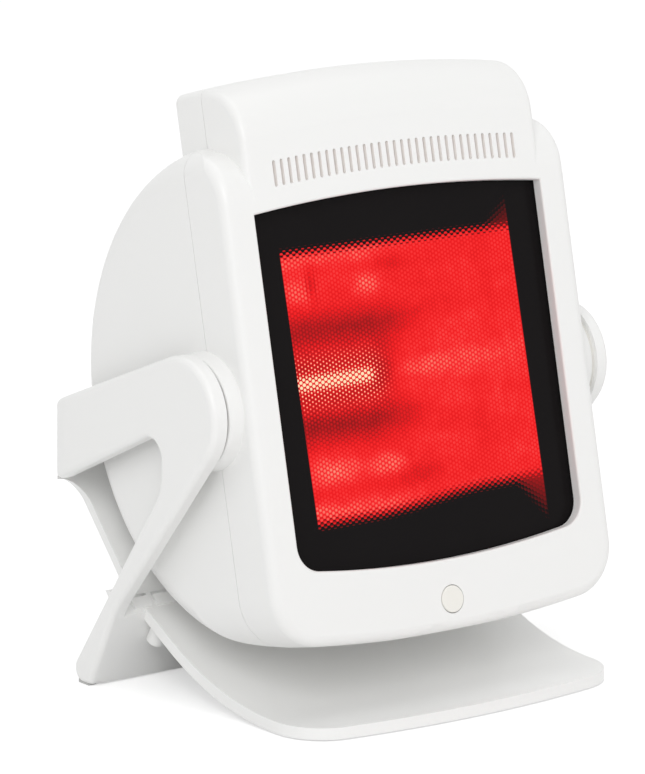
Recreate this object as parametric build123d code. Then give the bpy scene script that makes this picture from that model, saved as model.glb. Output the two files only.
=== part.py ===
from build123d import *
import math
import os

# Infrared heat therapy lamp, millimetres. X to the right, Y to the back, Z up, floor at Z = 0.
# Head pieces are drawn in the head frame: origin on the tilt axis, y straight back from the
# glass, z up along the glass. Stand pieces are drawn about the same tilt axis, but level.

# --- whole lamp ---
REST_TILT = 13.07
FRONT_REACH = 75.5
UNDER_HEAD = 28.2
BEHIND_HEAD = 7.5

# --- clearances ---
SEAM = 0.3
SLIP = 0.2
RUNNING_FIT = 0.05
SIDE_GAP = 0.3
LEAST_ROUNDING = 0.5

# Drawing allowances that leave no trace: how far joined forms run into each other, how far a
# cut runs past a face, and how far a trimming form runs past the whole piece.
FUSE = 0.5
THROUGH = 1.0
FAR = 60.0

# --- head shell ---
HEAD_HALF = 100.5
WALL = 3.0
FACE_Y = -32.5
PARTING_Y = -5.0
BARREL_Y = -16.0
BARREL_Z = 3.7
BARREL_R = 114.5
BARREL_EDGE_R = 12.0
FACE_EDGE_R = 5.0
SHOULDER_FRONT_R = 24.0
SHOULDER_SLOPE = 0.276
CHIN_Z = -115.9
CHIN_ARC_R = 700.0
CHIN_CORNER_R = 25.0
HUMP_HALF = 85.5
HUMP_TOP = 149.0
HUMP_ARC_R = 693.0
HUMP_REAR = 17.0
HUMP_FRONT_R = 25.0
HUMP_REAR_R = 5.0
HUMP_EDGE_R = 3.5
HUMP_ROOT_Z = 60.0
HUMP_CUT_Z = 51.0
TONGUE = 3.0
TONGUE_WALL = 1.6

# --- window and glass ---
WINDOW_HALF = 84.0
WINDOW_TOP = 89.8
WINDOW_TOP_CORNER = 85.1
WINDOW_BOTTOM = -82.7
WINDOW_BOTTOM_ARC_R = 543.0
WINDOW_CORNER_R = 12.5
WINDOW_LIP_R = 1.2
RIM_DEPTH = 5.5
RIM_WALL = 4.0
GASKET = 1.0
GASKET_WIDTH = 3.0
GLASS = 4.0
GLASS_LAP = 3.5
RETAINER = 1.2
RETAINER_GROW = 6.0
FENCE_WALL = 1.6
LIT_HALF_X = 67.0
LIT_HALF_Z = 64.0
LIT_Z = 3.0
GRIP_SIDE_X = 91.3
GRIP_PLACES = [(GRIP_SIDE_X, 50.0), (GRIP_SIDE_X, -45.0), (82.0, 95.0), (40.0, -91.0)]
GRIP_BOSS_R = 3.2
GRIP_LOBE_R = 4.2
GRIP_SCREW_LENGTH = 6.5
GRIP_PILOT = 6.0

# --- vent slots ---
SLOT_COUNT = 33
SLOT_PITCH = 4.37
SLOT_WIDTH = 1.7
SLOT_LENGTH = 12.0
SLOT_Z = 105.4
SLOT_ARC_R = 867.0
VENT_LENGTH = 34.0
VENT_WIDTH = 2.6
VENT_COLUMNS = [-42.0, 0.0, 42.0]
VENT_STEP = 6.0
OUTLET_FIRST = 16.0
OUTLET_ROWS = 9
INTAKE_FIRST = -52.0
INTAKE_ROWS = 4

# --- push button ---
BUTTON_Z = -101.2
BUTTON_HOLE_R = 6.65
BUTTON_GAP = 0.35
BUTTON_PROUD = 0.5
BUTTON_EDGE_R = 0.6
BUTTON_FLANGE_R = 7.9
BUTTON_FLANGE = 1.0
BUTTON_STEM_R = 2.0
BUTTON_TRAVEL = 1.5
PLUNGER_R = 1.6
PLUNGER_LENGTH = 3.0
PLUNGER_HIDDEN = 1.0
SWITCH_SIZE = 6.2
SWITCH_DEPTH = 3.6
SWITCH_BOARD_FRONT = 15.7
SWITCH_BOARD_WIDTH = 32.0
SWITCH_BOARD_HEIGHT = 13.5
SWITCH_BOARD_SCREW_X = 12.0
SWITCH_SCREW_LENGTH = 6.0
BOARD = 1.6
STANDOFF_R = 2.8

# --- reflector, shield and lamp ---
REFLECTOR_DEPTH = 50.8
SHEET = 0.8
END_PLATE = 1.0
FLANGE_WIDTH = 12.0
SHIELD_BACK = 45.0
SHIELD_BACK_HALF = 45.0
SHIELD_FLANGE = 10.0
SHIELD_INSET = 1.0
SHIELD_VENT_XS = [-48.0, -24.0, 0.0, 24.0, 48.0]
SHIELD_VENT_ZS = [-24.0, 24.0]
SHIELD_VENT_HALF_X = 8.0
SHIELD_VENT_HALF_Z = 3.0
CHEEK_MARGIN = 2.0
RIVET_XS = [-52.0, 0.0, 52.0]
RIVET_FROM_LIP = 4.0
RIVET_R = 1.6
RIVET_HEAD_R = 2.8
RIVET_HEAD = 0.8
LAMP_R = 5.0
LAMP_WALL = 0.9
LAMP_HALF = 62.0
FILAMENT_R = 1.4
FILAMENT_HALF = 54.0
FILAMENT_LEAD_R = 0.5
FILAMENT_SUPPORT_XS = [-36.0, -18.0, 0.0, 18.0, 36.0]
FILAMENT_SUPPORT = 0.8
CAP_R = 7.0
CAP_IN = 60.0
CAP_OUT = 74.0
PIN_R = 1.5
PIN_OUT = 77.0
PIN_BITE = 4.0
CAP_HOLE_GAP = 1.0
HOLDER_IN = 71.0
HOLDER_OUT = 86.0
HOLDER_HALF_Y = 9.0
HOLDER_HALF_Z = 11.0
HOLDER_SCREW_X = 79.5
HOLDER_SCREW_LENGTH = 5.5
HOLDER_PILOT = 5.0
BRACKET = 1.2
BRACKET_RISE = 14.0
BRACKET_RIVET_Y = 5.0
BRACKET_RIVET_RISE = 5.0
CUTOUT_R = 8.0
CUTOUT_HEIGHT = 6.0
CUTOUT_Z = 2.0
CUTOUT_TAB_Z = 4.0
CUTOUT_TAB_LENGTH = 6.0
CUTOUT_TAB_HALF_X = 1.5
CUTOUT_TAB_HALF_Z = 0.4

# --- control board ---
CONTROL_Z = -84.0
CONTROL_X0 = -45.0
CONTROL_X1 = 35.0
CONTROL_Y0 = 0.0
CONTROL_Y1 = 44.0
CONTROL_EDGE = 5.0
CONTROL_STANDOFF_R = 3.5
CONTROL_SCREW_LENGTH = 8.0
POWER_PLAN = (-34.0, -8.0, 8.0, 30.0)
POWER_HEIGHT = 14.0
RELAY_PLAN = (-3.0, 13.0, 16.0, 32.0)
RELAY_HEIGHT = 13.0
BUZZER_PLACE = (20.0, 14.0)
BUZZER_R = 6.0
BUZZER_HEIGHT = 8.0
BUZZER_HOLE_R = 1.2
BUZZER_HOLE_DEPTH = 1.5
TERMINAL_PLAN = (2.0, 24.0, 34.0, 42.0)
TERMINAL_HEIGHT = 10.0
TERMINAL_SCREW_XS = [6.0, 13.0, 20.0]
TERMINAL_SCREW_R = 2.0
TERMINAL_SCREW_DEPTH = 1.5

# --- leads ---
LEAD_R = 1.1
LEAD_BEND = 0.45
LAMP_LEAD_ENTRIES = [(-1, 9.0), (1, 17.0)]
LAMP_LEAD_RUN = 22.0
LAMP_LEAD_BACK = 34.0
LAMP_LEAD_DROP = 43.0
LAMP_LEAD_LOW = (40.0, 37.0, 12.0)
LAMP_LEAD_STRAIGHT = 10.0
SWITCH_LEAD_X = 4.0
SWITCH_LEAD_UP = 3.0
SWITCH_LEAD_OUT = 8.0
SWITCH_LEAD_OVER = 9.0
SWITCH_LEAD_Y = 6.0

# --- cable gland ---
GLAND_X = 52.0
GLAND_ANGLE = -62.0
GLAND_BODY_R = 8.0
GLAND_COLLAR_R = 10.5
GLAND_COLLAR = 3.1
GLAND_BORE_R = 3.6
GLAND_SEAT_DEPTH = 1.1
GLAND_LENGTH = 14.0
GLAND_NUT = 4.0
GLAND_NUT_R = 11.5
GLAND_EDGE_R = 1.0

# --- screws ---
SCREW_R = 1.5
SCREW_HEAD_R = 2.8
SCREW_HEAD = 2.0
SHELL_SCREW_LENGTH = 15.0
SHELL_BOSS_R = 4.6
SHELL_TUBE_R = 5.5
SHELL_BORE_R = 3.6
SHELL_FLOOR = 4.0
SHELL_TOP_PLACE = (72.0, 130.0)
SHELL_LOW_PLACE = (72.0, -98.0)
SHELL_TOP_BOSS_START = 1.5
SHELL_PILOT_SPARE = 1.0

# --- tilt hinge ---
DISC = 7.0
DISC_BASE_R = 27.5
DISC_RIM_R = 25.8
DISC_EDGE_R = 1.2
DISC_SCREW_RING = 18.0
DISC_SCREW_ANGLES = [180.0, 60.0, -60.0]
DISC_SCREW_BITE = 6.0
HINGE_GAP = 2.0
SPIGOT_R = 9.0
WALL_HOLE_R = 10.0
PIVOT_PLATE = 2.0
PIVOT_PLATE_R = 23.0
FRICTION_R = 24.5
RETAINING_R = 13.5
RETAINING = 2.0
INSERT_R = 4.6
PIVOT_SCREW_R = 3.0
PIVOT_SCREW_HEAD_R = 6.0
PIVOT_SCREW_HEAD = 4.0
INSERT_COVER = 4.5
INSERT_FLOOR = 1.5
PIVOT_SCREW_TIP = 2.0
PIVOT_SOCKET_R = 2.3
PIVOT_SOCKET = 2.5

# --- stand yoke ---
ARM = 7.5
ARM_BOSS_R = 27.0
ARM_EDGE_R = 3.0
ARM_TOP_SLOPE = 21.8
ARM_LOW_SLOPE = 25.4
LEG_TURN_Y = 49.76
LEG_TURN_HEIGHT = 41.1
LEG_LOW_SLOPE = 64.1
LEG_BEND_R = 60.0
OPENING_Y = 14.5
OPENING_TOP_Z = -9.7
OPENING_LOW_Z = -37.0
OPENING_TOP_R = 9.0
OPENING_LOW_R = 25.0
FOOT_REAR_Y = 82.0
FOOT_REAR_HEIGHT = 9.7
FOOT_R = 6.0
CORNER_R = 22.0
CORNER_INNER_R = 17.5
BAND = 4.5
BAND_TURN_IN = 14.0
BAND_DIP = 1.36
BAND_LOW_TURN_R = 30.0
SHEET_LAP = 15.0
SHEET_WALL = 4.75
SHEET_BEND_R = 25.0
SHEET_Y = 58.5
SHEET_HEIGHT = 44.0
SHEET_BEND_UP = 3.04
SHEET_HALF = 99.0
SHEET_FLARE_R = 12.0
CROSSING_HEIGHT = 46.2
CROSSING_FLARE_R = 5.0
PANEL = 5.0

# --- hook slots and base plate ---
HOOK_SLOT = 10.6
HOOK_PITCH = 13.2
HOOK_PAIRS = [-91.0, 0.0, 91.0]
HOOK_SLOT_UP = 0.3
HOOK_SLOT_DOWN = 3.5
HOOK_TONGUE = 1.5
HOOK_LIP = 1.6
HOOK_DROP = 2.0
HOOK_ROOT = 4.0
HOOK_BARB = 1.5
PLATE = 5.5
PLATE_HALF_REAR = 97.0
PLATE_REAR_Y = 70.0
PLATE_HALF_FRONT = 93.5
PLATE_NOSE_R = 465.0
PLATE_CORNER_R = 25.0
PLATE_FLAT_END = -45.0
PLATE_ARC_R = 160.0
PLATE_RISE = 30.0
FOOT_PROUD = 0.8
FOOT_PAD = 2.0
FRONT_PAD_R = 7.0
FRONT_PAD_X = 68.0
FRONT_PAD_Y = -56.0
REAR_PAD_X = 4.5
REAR_PAD_Y = 8.0
BASE_SCREW_X = 89.6
BASE_SCREW_Y = 46.4
BASE_SCREW_R = 1.75
BASE_SCREW_HEAD_R = 3.2
BASE_SCREW_HEAD = 1.8
BASE_SCREW_LENGTH = 9.0
BASE_BOSS_R = 4.5
BASE_BOSS = 10.0
BASE_WEB = (3.0, 14.0, 9.0)
BASE_WEB_Y = 6.0
BASE_WEB_DROP = 5.0
BASE_CAP_R = 3.5
BASE_CAP = 1.2

# The tilt axis stands high enough for the barrel, and the stand reaches behind it.
PIVOT_HEIGHT = BARREL_R + UNDER_HEAD
REAR_REACH = BARREL_Y + BARREL_R + BEHIND_HEAD + BAND
PIVOT_Y = (FRONT_REACH - REAR_REACH) / 2
HEAD = Pos(0, PIVOT_Y, PIVOT_HEIGHT) * Rot(X=-REST_TILT)
STAND = Pos(0, PIVOT_Y, PIVOT_HEIGHT)
GROUND = -PIVOT_HEIGHT


# --- drawing helpers ---
def along_x(face, x0, x1):
    """Extrude a (y, z) outline from x0 to x1."""
    return extrude(Plane((x0, 0, 0), x_dir=(0, 1, 0), z_dir=(1, 0, 0)) * face, amount=x1 - x0)


def along_y(face, y0, y1):
    """Extrude an (x, z) outline from y0 to y1."""
    return extrude(Plane((0, y1, 0), x_dir=(1, 0, 0), z_dir=(0, -1, 0)) * face, amount=y1 - y0)


def along_z(face, z0, z1):
    """Extrude an (x, y) outline from z0 to z1."""
    return extrude(Pos(0, 0, z0) * face, amount=z1 - z0)


def rod_x(radius, x0, x1, y=0.0, z=0.0):
    """Round bar along X, from x0 to x1."""
    low = min(x0, x1)
    return Pos(low, y, z) * Rot(Y=90) * Cylinder(
        radius, abs(x1 - x0), align=(Align.CENTER, Align.CENTER, Align.MIN))


def rod_y(radius, y0, y1, x=0.0, z=0.0):
    """Round bar along Y, from y0 to y1."""
    low = min(y0, y1)
    return Pos(x, low, z) * Rot(X=-90) * Cylinder(
        radius, abs(y1 - y0), align=(Align.CENTER, Align.CENTER, Align.MIN))


def block(x0, x1, y0, y1, z0, z1):
    """Box between two corners."""
    return Pos((x0 + x1) / 2, (y0 + y1) / 2, (z0 + z1) / 2) * Box(
        abs(x1 - x0), abs(y1 - y0), abs(z1 - z0))


def polygon(points):
    """Flat face through a list of corner points."""
    return make_face(Polyline(*points, close=True))


def round_corners(face, places, radius):
    """Round the corners of a flat face that lie at the given places."""
    corners = []
    for v in face.vertices():
        if any(math.dist((v.X, v.Y), place) < 0.01 for place in places):
            corners.append(v)
    return fillet(corners, radius)


def union(parts):
    """Join a list of solids."""
    whole = parts[0]
    for part in parts[1:]:
        whole += part
    return whole


def group(parts):
    """Keep separate solids together in one compound."""
    return Compound(children=list(parts))


def both_sides(part):
    """A part and its mirror image across the middle plane."""
    return [part, mirror(part, about=Plane.YZ)]


def shrunk(radius, inset):
    """A rounding drawn smaller by the inset, but never quite sharp."""
    return max(radius - inset, LEAST_ROUNDING)


def arc_sag(radius, half):
    """Height of an arc of this radius over half its chord."""
    return radius - math.sqrt(radius ** 2 - half ** 2)


# --- head shell forms, each drawn smaller by an inset ---
SHOULDER_Z = BARREL_Z + math.sqrt(BARREL_R ** 2 - (PARTING_Y - BARREL_Y) ** 2)
BARREL_LOW_Z = BARREL_Z - math.sqrt(BARREL_R ** 2 - (PARTING_Y - BARREL_Y) ** 2)


def body_outline(inset):
    """Front view of the head below the hump."""
    half = HEAD_HALF - inset
    low = CHIN_Z + inset
    side = low + arc_sag(CHIN_ARC_R, half)
    top = SHOULDER_Z - inset
    chin = ThreePointArc((-half, side), (0, low), (half, side))
    rest = Polyline((half, side), (half, top), (-half, top), (-half, side))
    face = make_face([chin, *rest.edges()])
    face = round_corners(face, [(-half, side), (half, side)], CHIN_CORNER_R - inset)
    return round_corners(face, [(-half, top), (half, top)], BARREL_EDGE_R - inset)


def hump_form(inset):
    """The raised vent hood along the top, arched across; only the outer skin has its edges eased."""
    front = FACE_Y + inset
    rear = HUMP_REAR - inset
    top = HUMP_TOP - inset
    profile = polygon([(front, HUMP_ROOT_Z), (rear, HUMP_ROOT_Z), (rear, top), (front, top)])
    profile = round_corners(profile, [(front, top)], HUMP_FRONT_R - inset)
    profile = round_corners(profile, [(rear, top)], shrunk(HUMP_REAR_R, inset))
    centre = Axis((0, 0, HUMP_TOP - HUMP_ARC_R), (0, 1, 0))
    swing = 2 * math.degrees(math.asin(HUMP_HALF / (HUMP_ARC_R - HUMP_FRONT_R))) + 3
    hood = revolve(Plane.YZ * profile, axis=centre, revolution_arc=swing).rotate(centre, -swing / 2)
    half = HUMP_HALF - inset
    hood = hood & block(-half, half, front - THROUGH, rear + THROUGH, HUMP_ROOT_Z - WALL, HUMP_TOP)
    if inset == 0:
        sides = hood.faces().sort_by(Axis.X)
        edges = []
        for face in (sides[0], sides[-1]):
            edges += [e for e in face.edges() if e.center().Z > HUMP_ROOT_Z + THROUGH]
        hood = fillet(edges, HUMP_EDGE_R)
    return hood


def front_form(inset, y_end):
    """Head in front of the parting plane; only the outer skin has its edges eased."""
    front = FACE_Y + inset
    plain = along_y(body_outline(inset), front, y_end)
    half = HEAD_HALF - inset
    top_rear = SHOULDER_Z - inset + (y_end - PARTING_Y) * SHOULDER_SLOPE
    top_front = SHOULDER_Z - inset - (PARTING_Y - front) * SHOULDER_SLOPE
    low_front = CHIN_Z + inset
    low_rear = BARREL_LOW_Z + inset
    side_view = polygon([(y_end, low_rear), (y_end, top_rear), (front, top_front), (front, low_front)])
    side_view = round_corners(side_view, [(front, top_front)], SHOULDER_FRONT_R - inset)
    rounded = along_x(side_view, -half, half)
    if inset == 0:
        plain = fillet(plain.faces().sort_by(Axis.Y)[0].edges(), FACE_EDGE_R)
        sides = rounded.faces().sort_by(Axis.X)
        edges = []
        for face in (sides[0], sides[-1]):
            middles = [(e, e.center()) for e in face.edges()]
            edges += [e for e, middle in middles if middle.Y < y_end - 0.01 and middle.Z > low_front + 10]
        rounded = fillet(edges, FACE_EDGE_R)
    ahead = block(-HEAD_HALF, HEAD_HALF, FACE_Y - THROUGH, y_end, HUMP_CUT_Z, FAR + HUMP_TOP)
    hood = hump_form(inset) & ahead
    return (plain & rounded) + hood


def rear_form(inset, y_start):
    """Head behind the parting plane: a barrel lying along X, trimmed as one half and mirrored."""
    half = HEAD_HALF - inset
    barrel = rod_x(BARREL_R - inset, -half, half, BARREL_Y, BARREL_Z)
    barrel = fillet(barrel.edges().filter_by(GeomType.CIRCLE), BARREL_EDGE_R - inset)
    reach = BARREL_Y + BARREL_R + THROUGH
    left = barrel & block(-FAR - HEAD_HALF, 0, y_start, reach, CHIN_Z - THROUGH, HUMP_TOP)
    left = left & along_y(body_outline(inset), y_start, reach)
    barrel = union(both_sides(left))
    behind = block(-HEAD_HALF, HEAD_HALF, y_start, HUMP_REAR + THROUGH, HUMP_CUT_Z, FAR + HUMP_TOP)
    return barrel + (hump_form(inset) & behind)


def window_outline(grow):
    """The window opening, or an outline that stands outside it by grow."""
    half = WINDOW_HALF + grow
    corner = WINDOW_TOP_CORNER + grow
    low = WINDOW_BOTTOM - grow
    side = low + arc_sag(WINDOW_BOTTOM_ARC_R, half)
    top = ThreePointArc((-half, corner), (0, WINDOW_TOP + grow), (half, corner))
    bottom = ThreePointArc((-half, side), (0, low), (half, side))
    left = Line((-half, corner), (-half, side))
    right = Line((half, corner), (half, side))
    face = make_face([top, right, bottom, left])
    return round_corners(face, [(-half, side), (half, side)], WINDOW_CORNER_R + grow)


def grip_places():
    """Places of the screws that hold the glass retainer, both sides."""
    return [(s * x, z) for x, z in GRIP_PLACES for s in (-1, 1)]


def shell_places():
    """Places of the screws that hold the two shells together."""
    return [(s * x, z) for x, z in (SHELL_TOP_PLACE, SHELL_LOW_PLACE) for s in (-1, 1)]


def ring_places(angles, radius):
    """Points (y, z) on a circle about the tilt axis."""
    return [(radius * math.cos(math.radians(a)), radius * math.sin(math.radians(a))) for a in angles]


# --- head depths, front to back ---
INNER_FACE_Y = FACE_Y + WALL
RIM_BACK_Y = FACE_Y + RIM_DEPTH
GLASS_FRONT_Y = RIM_BACK_Y + GASKET
RETAINER_Y = GLASS_FRONT_Y + GLASS
MOUTH_Y = RETAINER_Y + RETAINER
FOCUS = LIT_HALF_Z ** 2 / (4 * REFLECTOR_DEPTH)
LAMP_Y = MOUTH_Y + REFLECTOR_DEPTH - FOCUS
LAMP_Z = LIT_Z
BOARD_FRONT_Y = FACE_Y + SWITCH_BOARD_FRONT


def vent_slots():
    """The row of fine slots above the window, bowed like the window's top edge."""
    first = -(SLOT_COUNT - 1) / 2
    slots = []
    for i in range(SLOT_COUNT):
        x = (first + i) * SLOT_PITCH
        z = SLOT_Z - arc_sag(SLOT_ARC_R, abs(x))
        slot = Pos(x, z) * Rot(Z=90) * SlotOverall(SLOT_LENGTH, SLOT_WIDTH)
        slots.append(along_y(slot, FACE_Y - THROUGH, INNER_FACE_Y + THROUGH))
    return slots


def barrel_slots():
    """Rows of cooling slots across the round back."""
    angles = [OUTLET_FIRST + i * VENT_STEP for i in range(OUTLET_ROWS)]
    angles += [INTAKE_FIRST + i * VENT_STEP for i in range(INTAKE_ROWS)]
    slots = []
    for angle in angles:
        for x in VENT_COLUMNS:
            slot = Pos(x, BARREL_R - WALL / 2, 0) * Box(VENT_LENGTH, 4 * WALL, VENT_WIDTH)
            slots.append(Pos(0, BARREL_Y, BARREL_Z) * Rot(X=angle) * slot)
    return slots


def window_lip(shell):
    """Front edges of the window opening."""
    edges = []
    for e in shell.edges():
        low = min(p.Z for p in (e @ 0, e @ 0.5, e @ 1))
        high = max(p.Z for p in (e @ 0, e @ 0.5, e @ 1))
        wide = max(abs(p.X) for p in (e @ 0, e @ 0.5, e @ 1))
        near = max(p.Y for p in (e @ 0, e @ 0.5, e @ 1)) < FACE_Y + 0.01
        inside = wide < WINDOW_HALF + 0.1 and low > WINDOW_BOTTOM - 0.1 and high < WINDOW_TOP + 0.1
        if near and inside:
            edges.append(e)
    return edges


def side_holes():
    """Holes through both sides of the head for the spigots and the disc screws."""
    holes = []
    for s in (-1, 1):
        inside = s * (HEAD_HALF - WALL - THROUGH)
        outside = s * (HEAD_HALF + THROUGH)
        holes.append(rod_x(WALL_HOLE_R, inside, outside))
        for y, z in ring_places(DISC_SCREW_ANGLES, DISC_SCREW_RING):
            holes.append(rod_x(SCREW_R + SLIP, inside, outside, y, z))
    return holes


def front_bezel():
    """White front shell with the window, the vent slots and the button hole."""
    shell = front_form(0, PARTING_Y - SEAM) - front_form(WALL, PARTING_Y)
    root = INNER_FACE_Y - FUSE
    rim = along_y(window_outline(RIM_WALL), root, RIM_BACK_Y)
    fence = along_y(window_outline(GLASS_LAP + SLIP + FENCE_WALL), root, RETAINER_Y - SLIP)
    fence -= along_y(window_outline(GLASS_LAP + SLIP), RIM_BACK_Y, RETAINER_Y)
    shell = shell + (rim + fence)
    for x, z in grip_places():
        shell += rod_y(GRIP_BOSS_R, root, RETAINER_Y, x, z)
    for x, z in shell_places():
        start = root if z < 0 else INNER_FACE_Y + SHELL_TOP_BOSS_START
        shell += rod_y(SHELL_BOSS_R, start, PARTING_Y, x, z)
    shell -= along_y(window_outline(0), FACE_Y - THROUGH, RIM_BACK_Y + THROUGH)
    shell = fillet(window_lip(shell), WINDOW_LIP_R)
    holes = vent_slots() + side_holes()
    holes.append(rod_y(BUTTON_HOLE_R, FACE_Y - THROUGH, INNER_FACE_Y + THROUGH, 0, BUTTON_Z))
    for x, z in grip_places():
        holes.append(rod_y(SCREW_R, RETAINER_Y - GRIP_PILOT, RETAINER_Y + THROUGH, x, z))
    pilot_end = PARTING_Y + SHELL_FLOOR - SHELL_SCREW_LENGTH - SHELL_PILOT_SPARE
    for x, z in shell_places():
        holes.append(rod_y(SCREW_R, pilot_end, PARTING_Y + THROUGH, x, z))
    for s in (-1, 1):
        x = s * SWITCH_BOARD_SCREW_X
        shell += rod_y(STANDOFF_R, root, BOARD_FRONT_Y, x, BUTTON_Z)
        start = BOARD_FRONT_Y - SWITCH_SCREW_LENGTH
        holes.append(rod_y(SCREW_R, start, BOARD_FRONT_Y + THROUGH, x, BUTTON_Z))
    return shell - holes


def seam_form(inset):
    """The head's section at the parting plane, run back by the tongue's length."""
    y1 = PARTING_Y + TONGUE
    section = along_y(body_outline(inset), PARTING_Y, y1)
    section = section & block(-HEAD_HALF, HEAD_HALF, PARTING_Y, y1, BARREL_LOW_Z + inset, HUMP_TOP)
    hood = hump_form(inset) & block(-HEAD_HALF, HEAD_HALF, PARTING_Y, y1, HUMP_CUT_Z, HUMP_TOP)
    return section + hood


def rear_tongue():
    """Lip that laps inside the bezel all round, left out beside the tilt hinge."""
    inner = WALL + SLIP
    root = seam_form(WALL - FUSE) - seam_form(inner + TONGUE_WALL)
    lip = front_form(inner, PARTING_Y) - front_form(inner + TONGUE_WALL, PARTING_Y)
    lip &= block(-HEAD_HALF, HEAD_HALF, PARTING_Y - TONGUE, PARTING_Y, CHIN_Z, HUMP_TOP)
    return (root + lip) - rod_x(PIVOT_PLATE_R + 2 * THROUGH, -HEAD_HALF, HEAD_HALF)


def control_places():
    """Corner screws of the control board."""
    xs = (CONTROL_X0 + CONTROL_EDGE, CONTROL_X1 - CONTROL_EDGE)
    ys = (CONTROL_Y0 + CONTROL_EDGE, CONTROL_Y1 - CONTROL_EDGE)
    return [(x, y) for x in xs for y in ys]


def gland_frame():
    """Frame on the barrel's outer face at the cable gland, z pointing out of the head."""
    return Pos(GLAND_X, BARREL_Y, BARREL_Z) * Rot(X=GLAND_ANGLE - 90) * Pos(0, 0, BARREL_R)


def rear_housing():
    """White round back shell with the rear half of the hood."""
    shell = rear_form(0, PARTING_Y) - rear_form(WALL, PARTING_Y - THROUGH)
    shell = shell + rear_tongue()
    room = rear_form(WALL / 2, PARTING_Y)
    for x, z in shell_places():
        shell += rod_y(SHELL_TUBE_R, PARTING_Y, BARREL_R, x, z) & room
    for x, y in control_places():
        post = Pos(x, y, CONTROL_Z) * Cylinder(
            CONTROL_STANDOFF_R, FAR, align=(Align.CENTER, Align.CENTER, Align.MAX))
        shell += post & room
    holes = barrel_slots() + side_holes()
    for x, z in shell_places():
        holes.append(rod_y(SHELL_BORE_R, PARTING_Y + SHELL_FLOOR, BARREL_R, x, z))
        holes.append(rod_y(SCREW_R + SLIP, PARTING_Y - THROUGH, PARTING_Y + SHELL_FLOOR + THROUGH, x, z))
    for x, y in control_places():
        holes.append(Pos(x, y, CONTROL_Z + FUSE) * Cylinder(
            SCREW_R, CONTROL_SCREW_LENGTH, align=(Align.CENTER, Align.CENTER, Align.MAX)))
    seat = Pos(0, 0, -GLAND_SEAT_DEPTH) * Cylinder(
        GLAND_COLLAR_R + SLIP, GLAND_COLLAR_R, align=(Align.CENTER, Align.CENTER, Align.MIN))
    holes.append(gland_frame() * seat)
    holes.append(gland_frame() * Cylinder(GLAND_BODY_R + RUNNING_FIT, 2 * GLAND_LENGTH))
    return shell - holes


# --- glass ---
def window_glass():
    """Dark glass-ceramic pane behind the window."""
    return along_y(window_outline(GLASS_LAP), GLASS_FRONT_Y, RETAINER_Y)


def glass_gasket():
    """Flat silicone frame between the rim and the glass."""
    ring = along_y(window_outline(GLASS_LAP), RIM_BACK_Y, GLASS_FRONT_Y)
    return ring - along_y(window_outline(GLASS_LAP - GASKET_WIDTH), RIM_BACK_Y, GLASS_FRONT_Y)


def glass_retainer():
    """Black steel frame that clamps the glass and carries the reflector."""
    plate = along_y(window_outline(RETAINER_GROW), RETAINER_Y, MOUTH_Y)
    for x, z in grip_places():
        plate += rod_y(GRIP_LOBE_R, RETAINER_Y, MOUTH_Y, x, z)
    plate -= block(-LIT_HALF_X, LIT_HALF_X, RETAINER_Y, MOUTH_Y, LIT_Z - LIT_HALF_Z, LIT_Z + LIT_HALF_Z)
    for x, z in grip_places():
        plate -= rod_y(SCREW_R, RETAINER_Y, MOUTH_Y, x, z)
    for x, z in rivet_places():
        plate -= rod_y(RIVET_R, RETAINER_Y, MOUTH_Y, x, z)
    return plate


def pan_screw_y(x, z, y_seat, length, toward):
    """Pan-head screw along Y, its head on the seat, its shank going toward -Y or +Y."""
    shank = rod_y(SCREW_R, y_seat, y_seat + toward * length, x, z)
    return shank + rod_y(SCREW_HEAD_R, y_seat, y_seat - toward * SCREW_HEAD, x, z)


def retainer_screws():
    return [pan_screw_y(x, z, MOUTH_Y, GRIP_SCREW_LENGTH, -1) for x, z in grip_places()]


def housing_screws():
    seat = PARTING_Y + SHELL_FLOOR
    return [pan_screw_y(x, z, seat, SHELL_SCREW_LENGTH, -1) for x, z in shell_places()]


# --- reflector and heat shield ---
def rivet_places():
    """Rivets that hold the reflector and shield flanges to the retainer."""
    reach = LIT_HALF_Z + FLANGE_WIDTH - RIVET_FROM_LIP
    return [(x, LIT_Z + s * reach) for x in RIVET_XS for s in (-1, 1)]


def trough_curve(depth, half):
    """Parabola from mouth edge to mouth edge, as an exact quadratic curve."""
    return Bezier((MOUTH_Y, LIT_Z + half), (MOUTH_Y + 2 * depth, LIT_Z), (MOUTH_Y, LIT_Z - half))


def trough_face(depth, half):
    mouth = Line((MOUTH_Y, LIT_Z - half), (MOUTH_Y, LIT_Z + half))
    return make_face([trough_curve(depth, half), mouth])


def reflector():
    """Polished parabolic trough with a flange above and below its mouth."""
    bowl = trough_face(REFLECTOR_DEPTH + SHEET, LIT_HALF_Z + SHEET) - trough_face(REFLECTOR_DEPTH, LIT_HALF_Z)
    trough = along_x(bowl, -LIT_HALF_X, LIT_HALF_X)
    for s in (-1, 1):
        edge = LIT_Z + s * LIT_HALF_Z
        lip = LIT_Z + s * (LIT_HALF_Z + FLANGE_WIDTH)
        trough += block(-LIT_HALF_X, LIT_HALF_X, MOUTH_Y, MOUTH_Y + SHEET, edge, lip)
    trough -= along_x(trough_face(REFLECTOR_DEPTH, LIT_HALF_Z), -LIT_HALF_X - THROUGH, LIT_HALF_X + THROUGH)
    for x, z in rivet_places():
        trough -= rod_y(RIVET_R, MOUTH_Y, MOUTH_Y + SHEET, x, z)
    return trough


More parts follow.
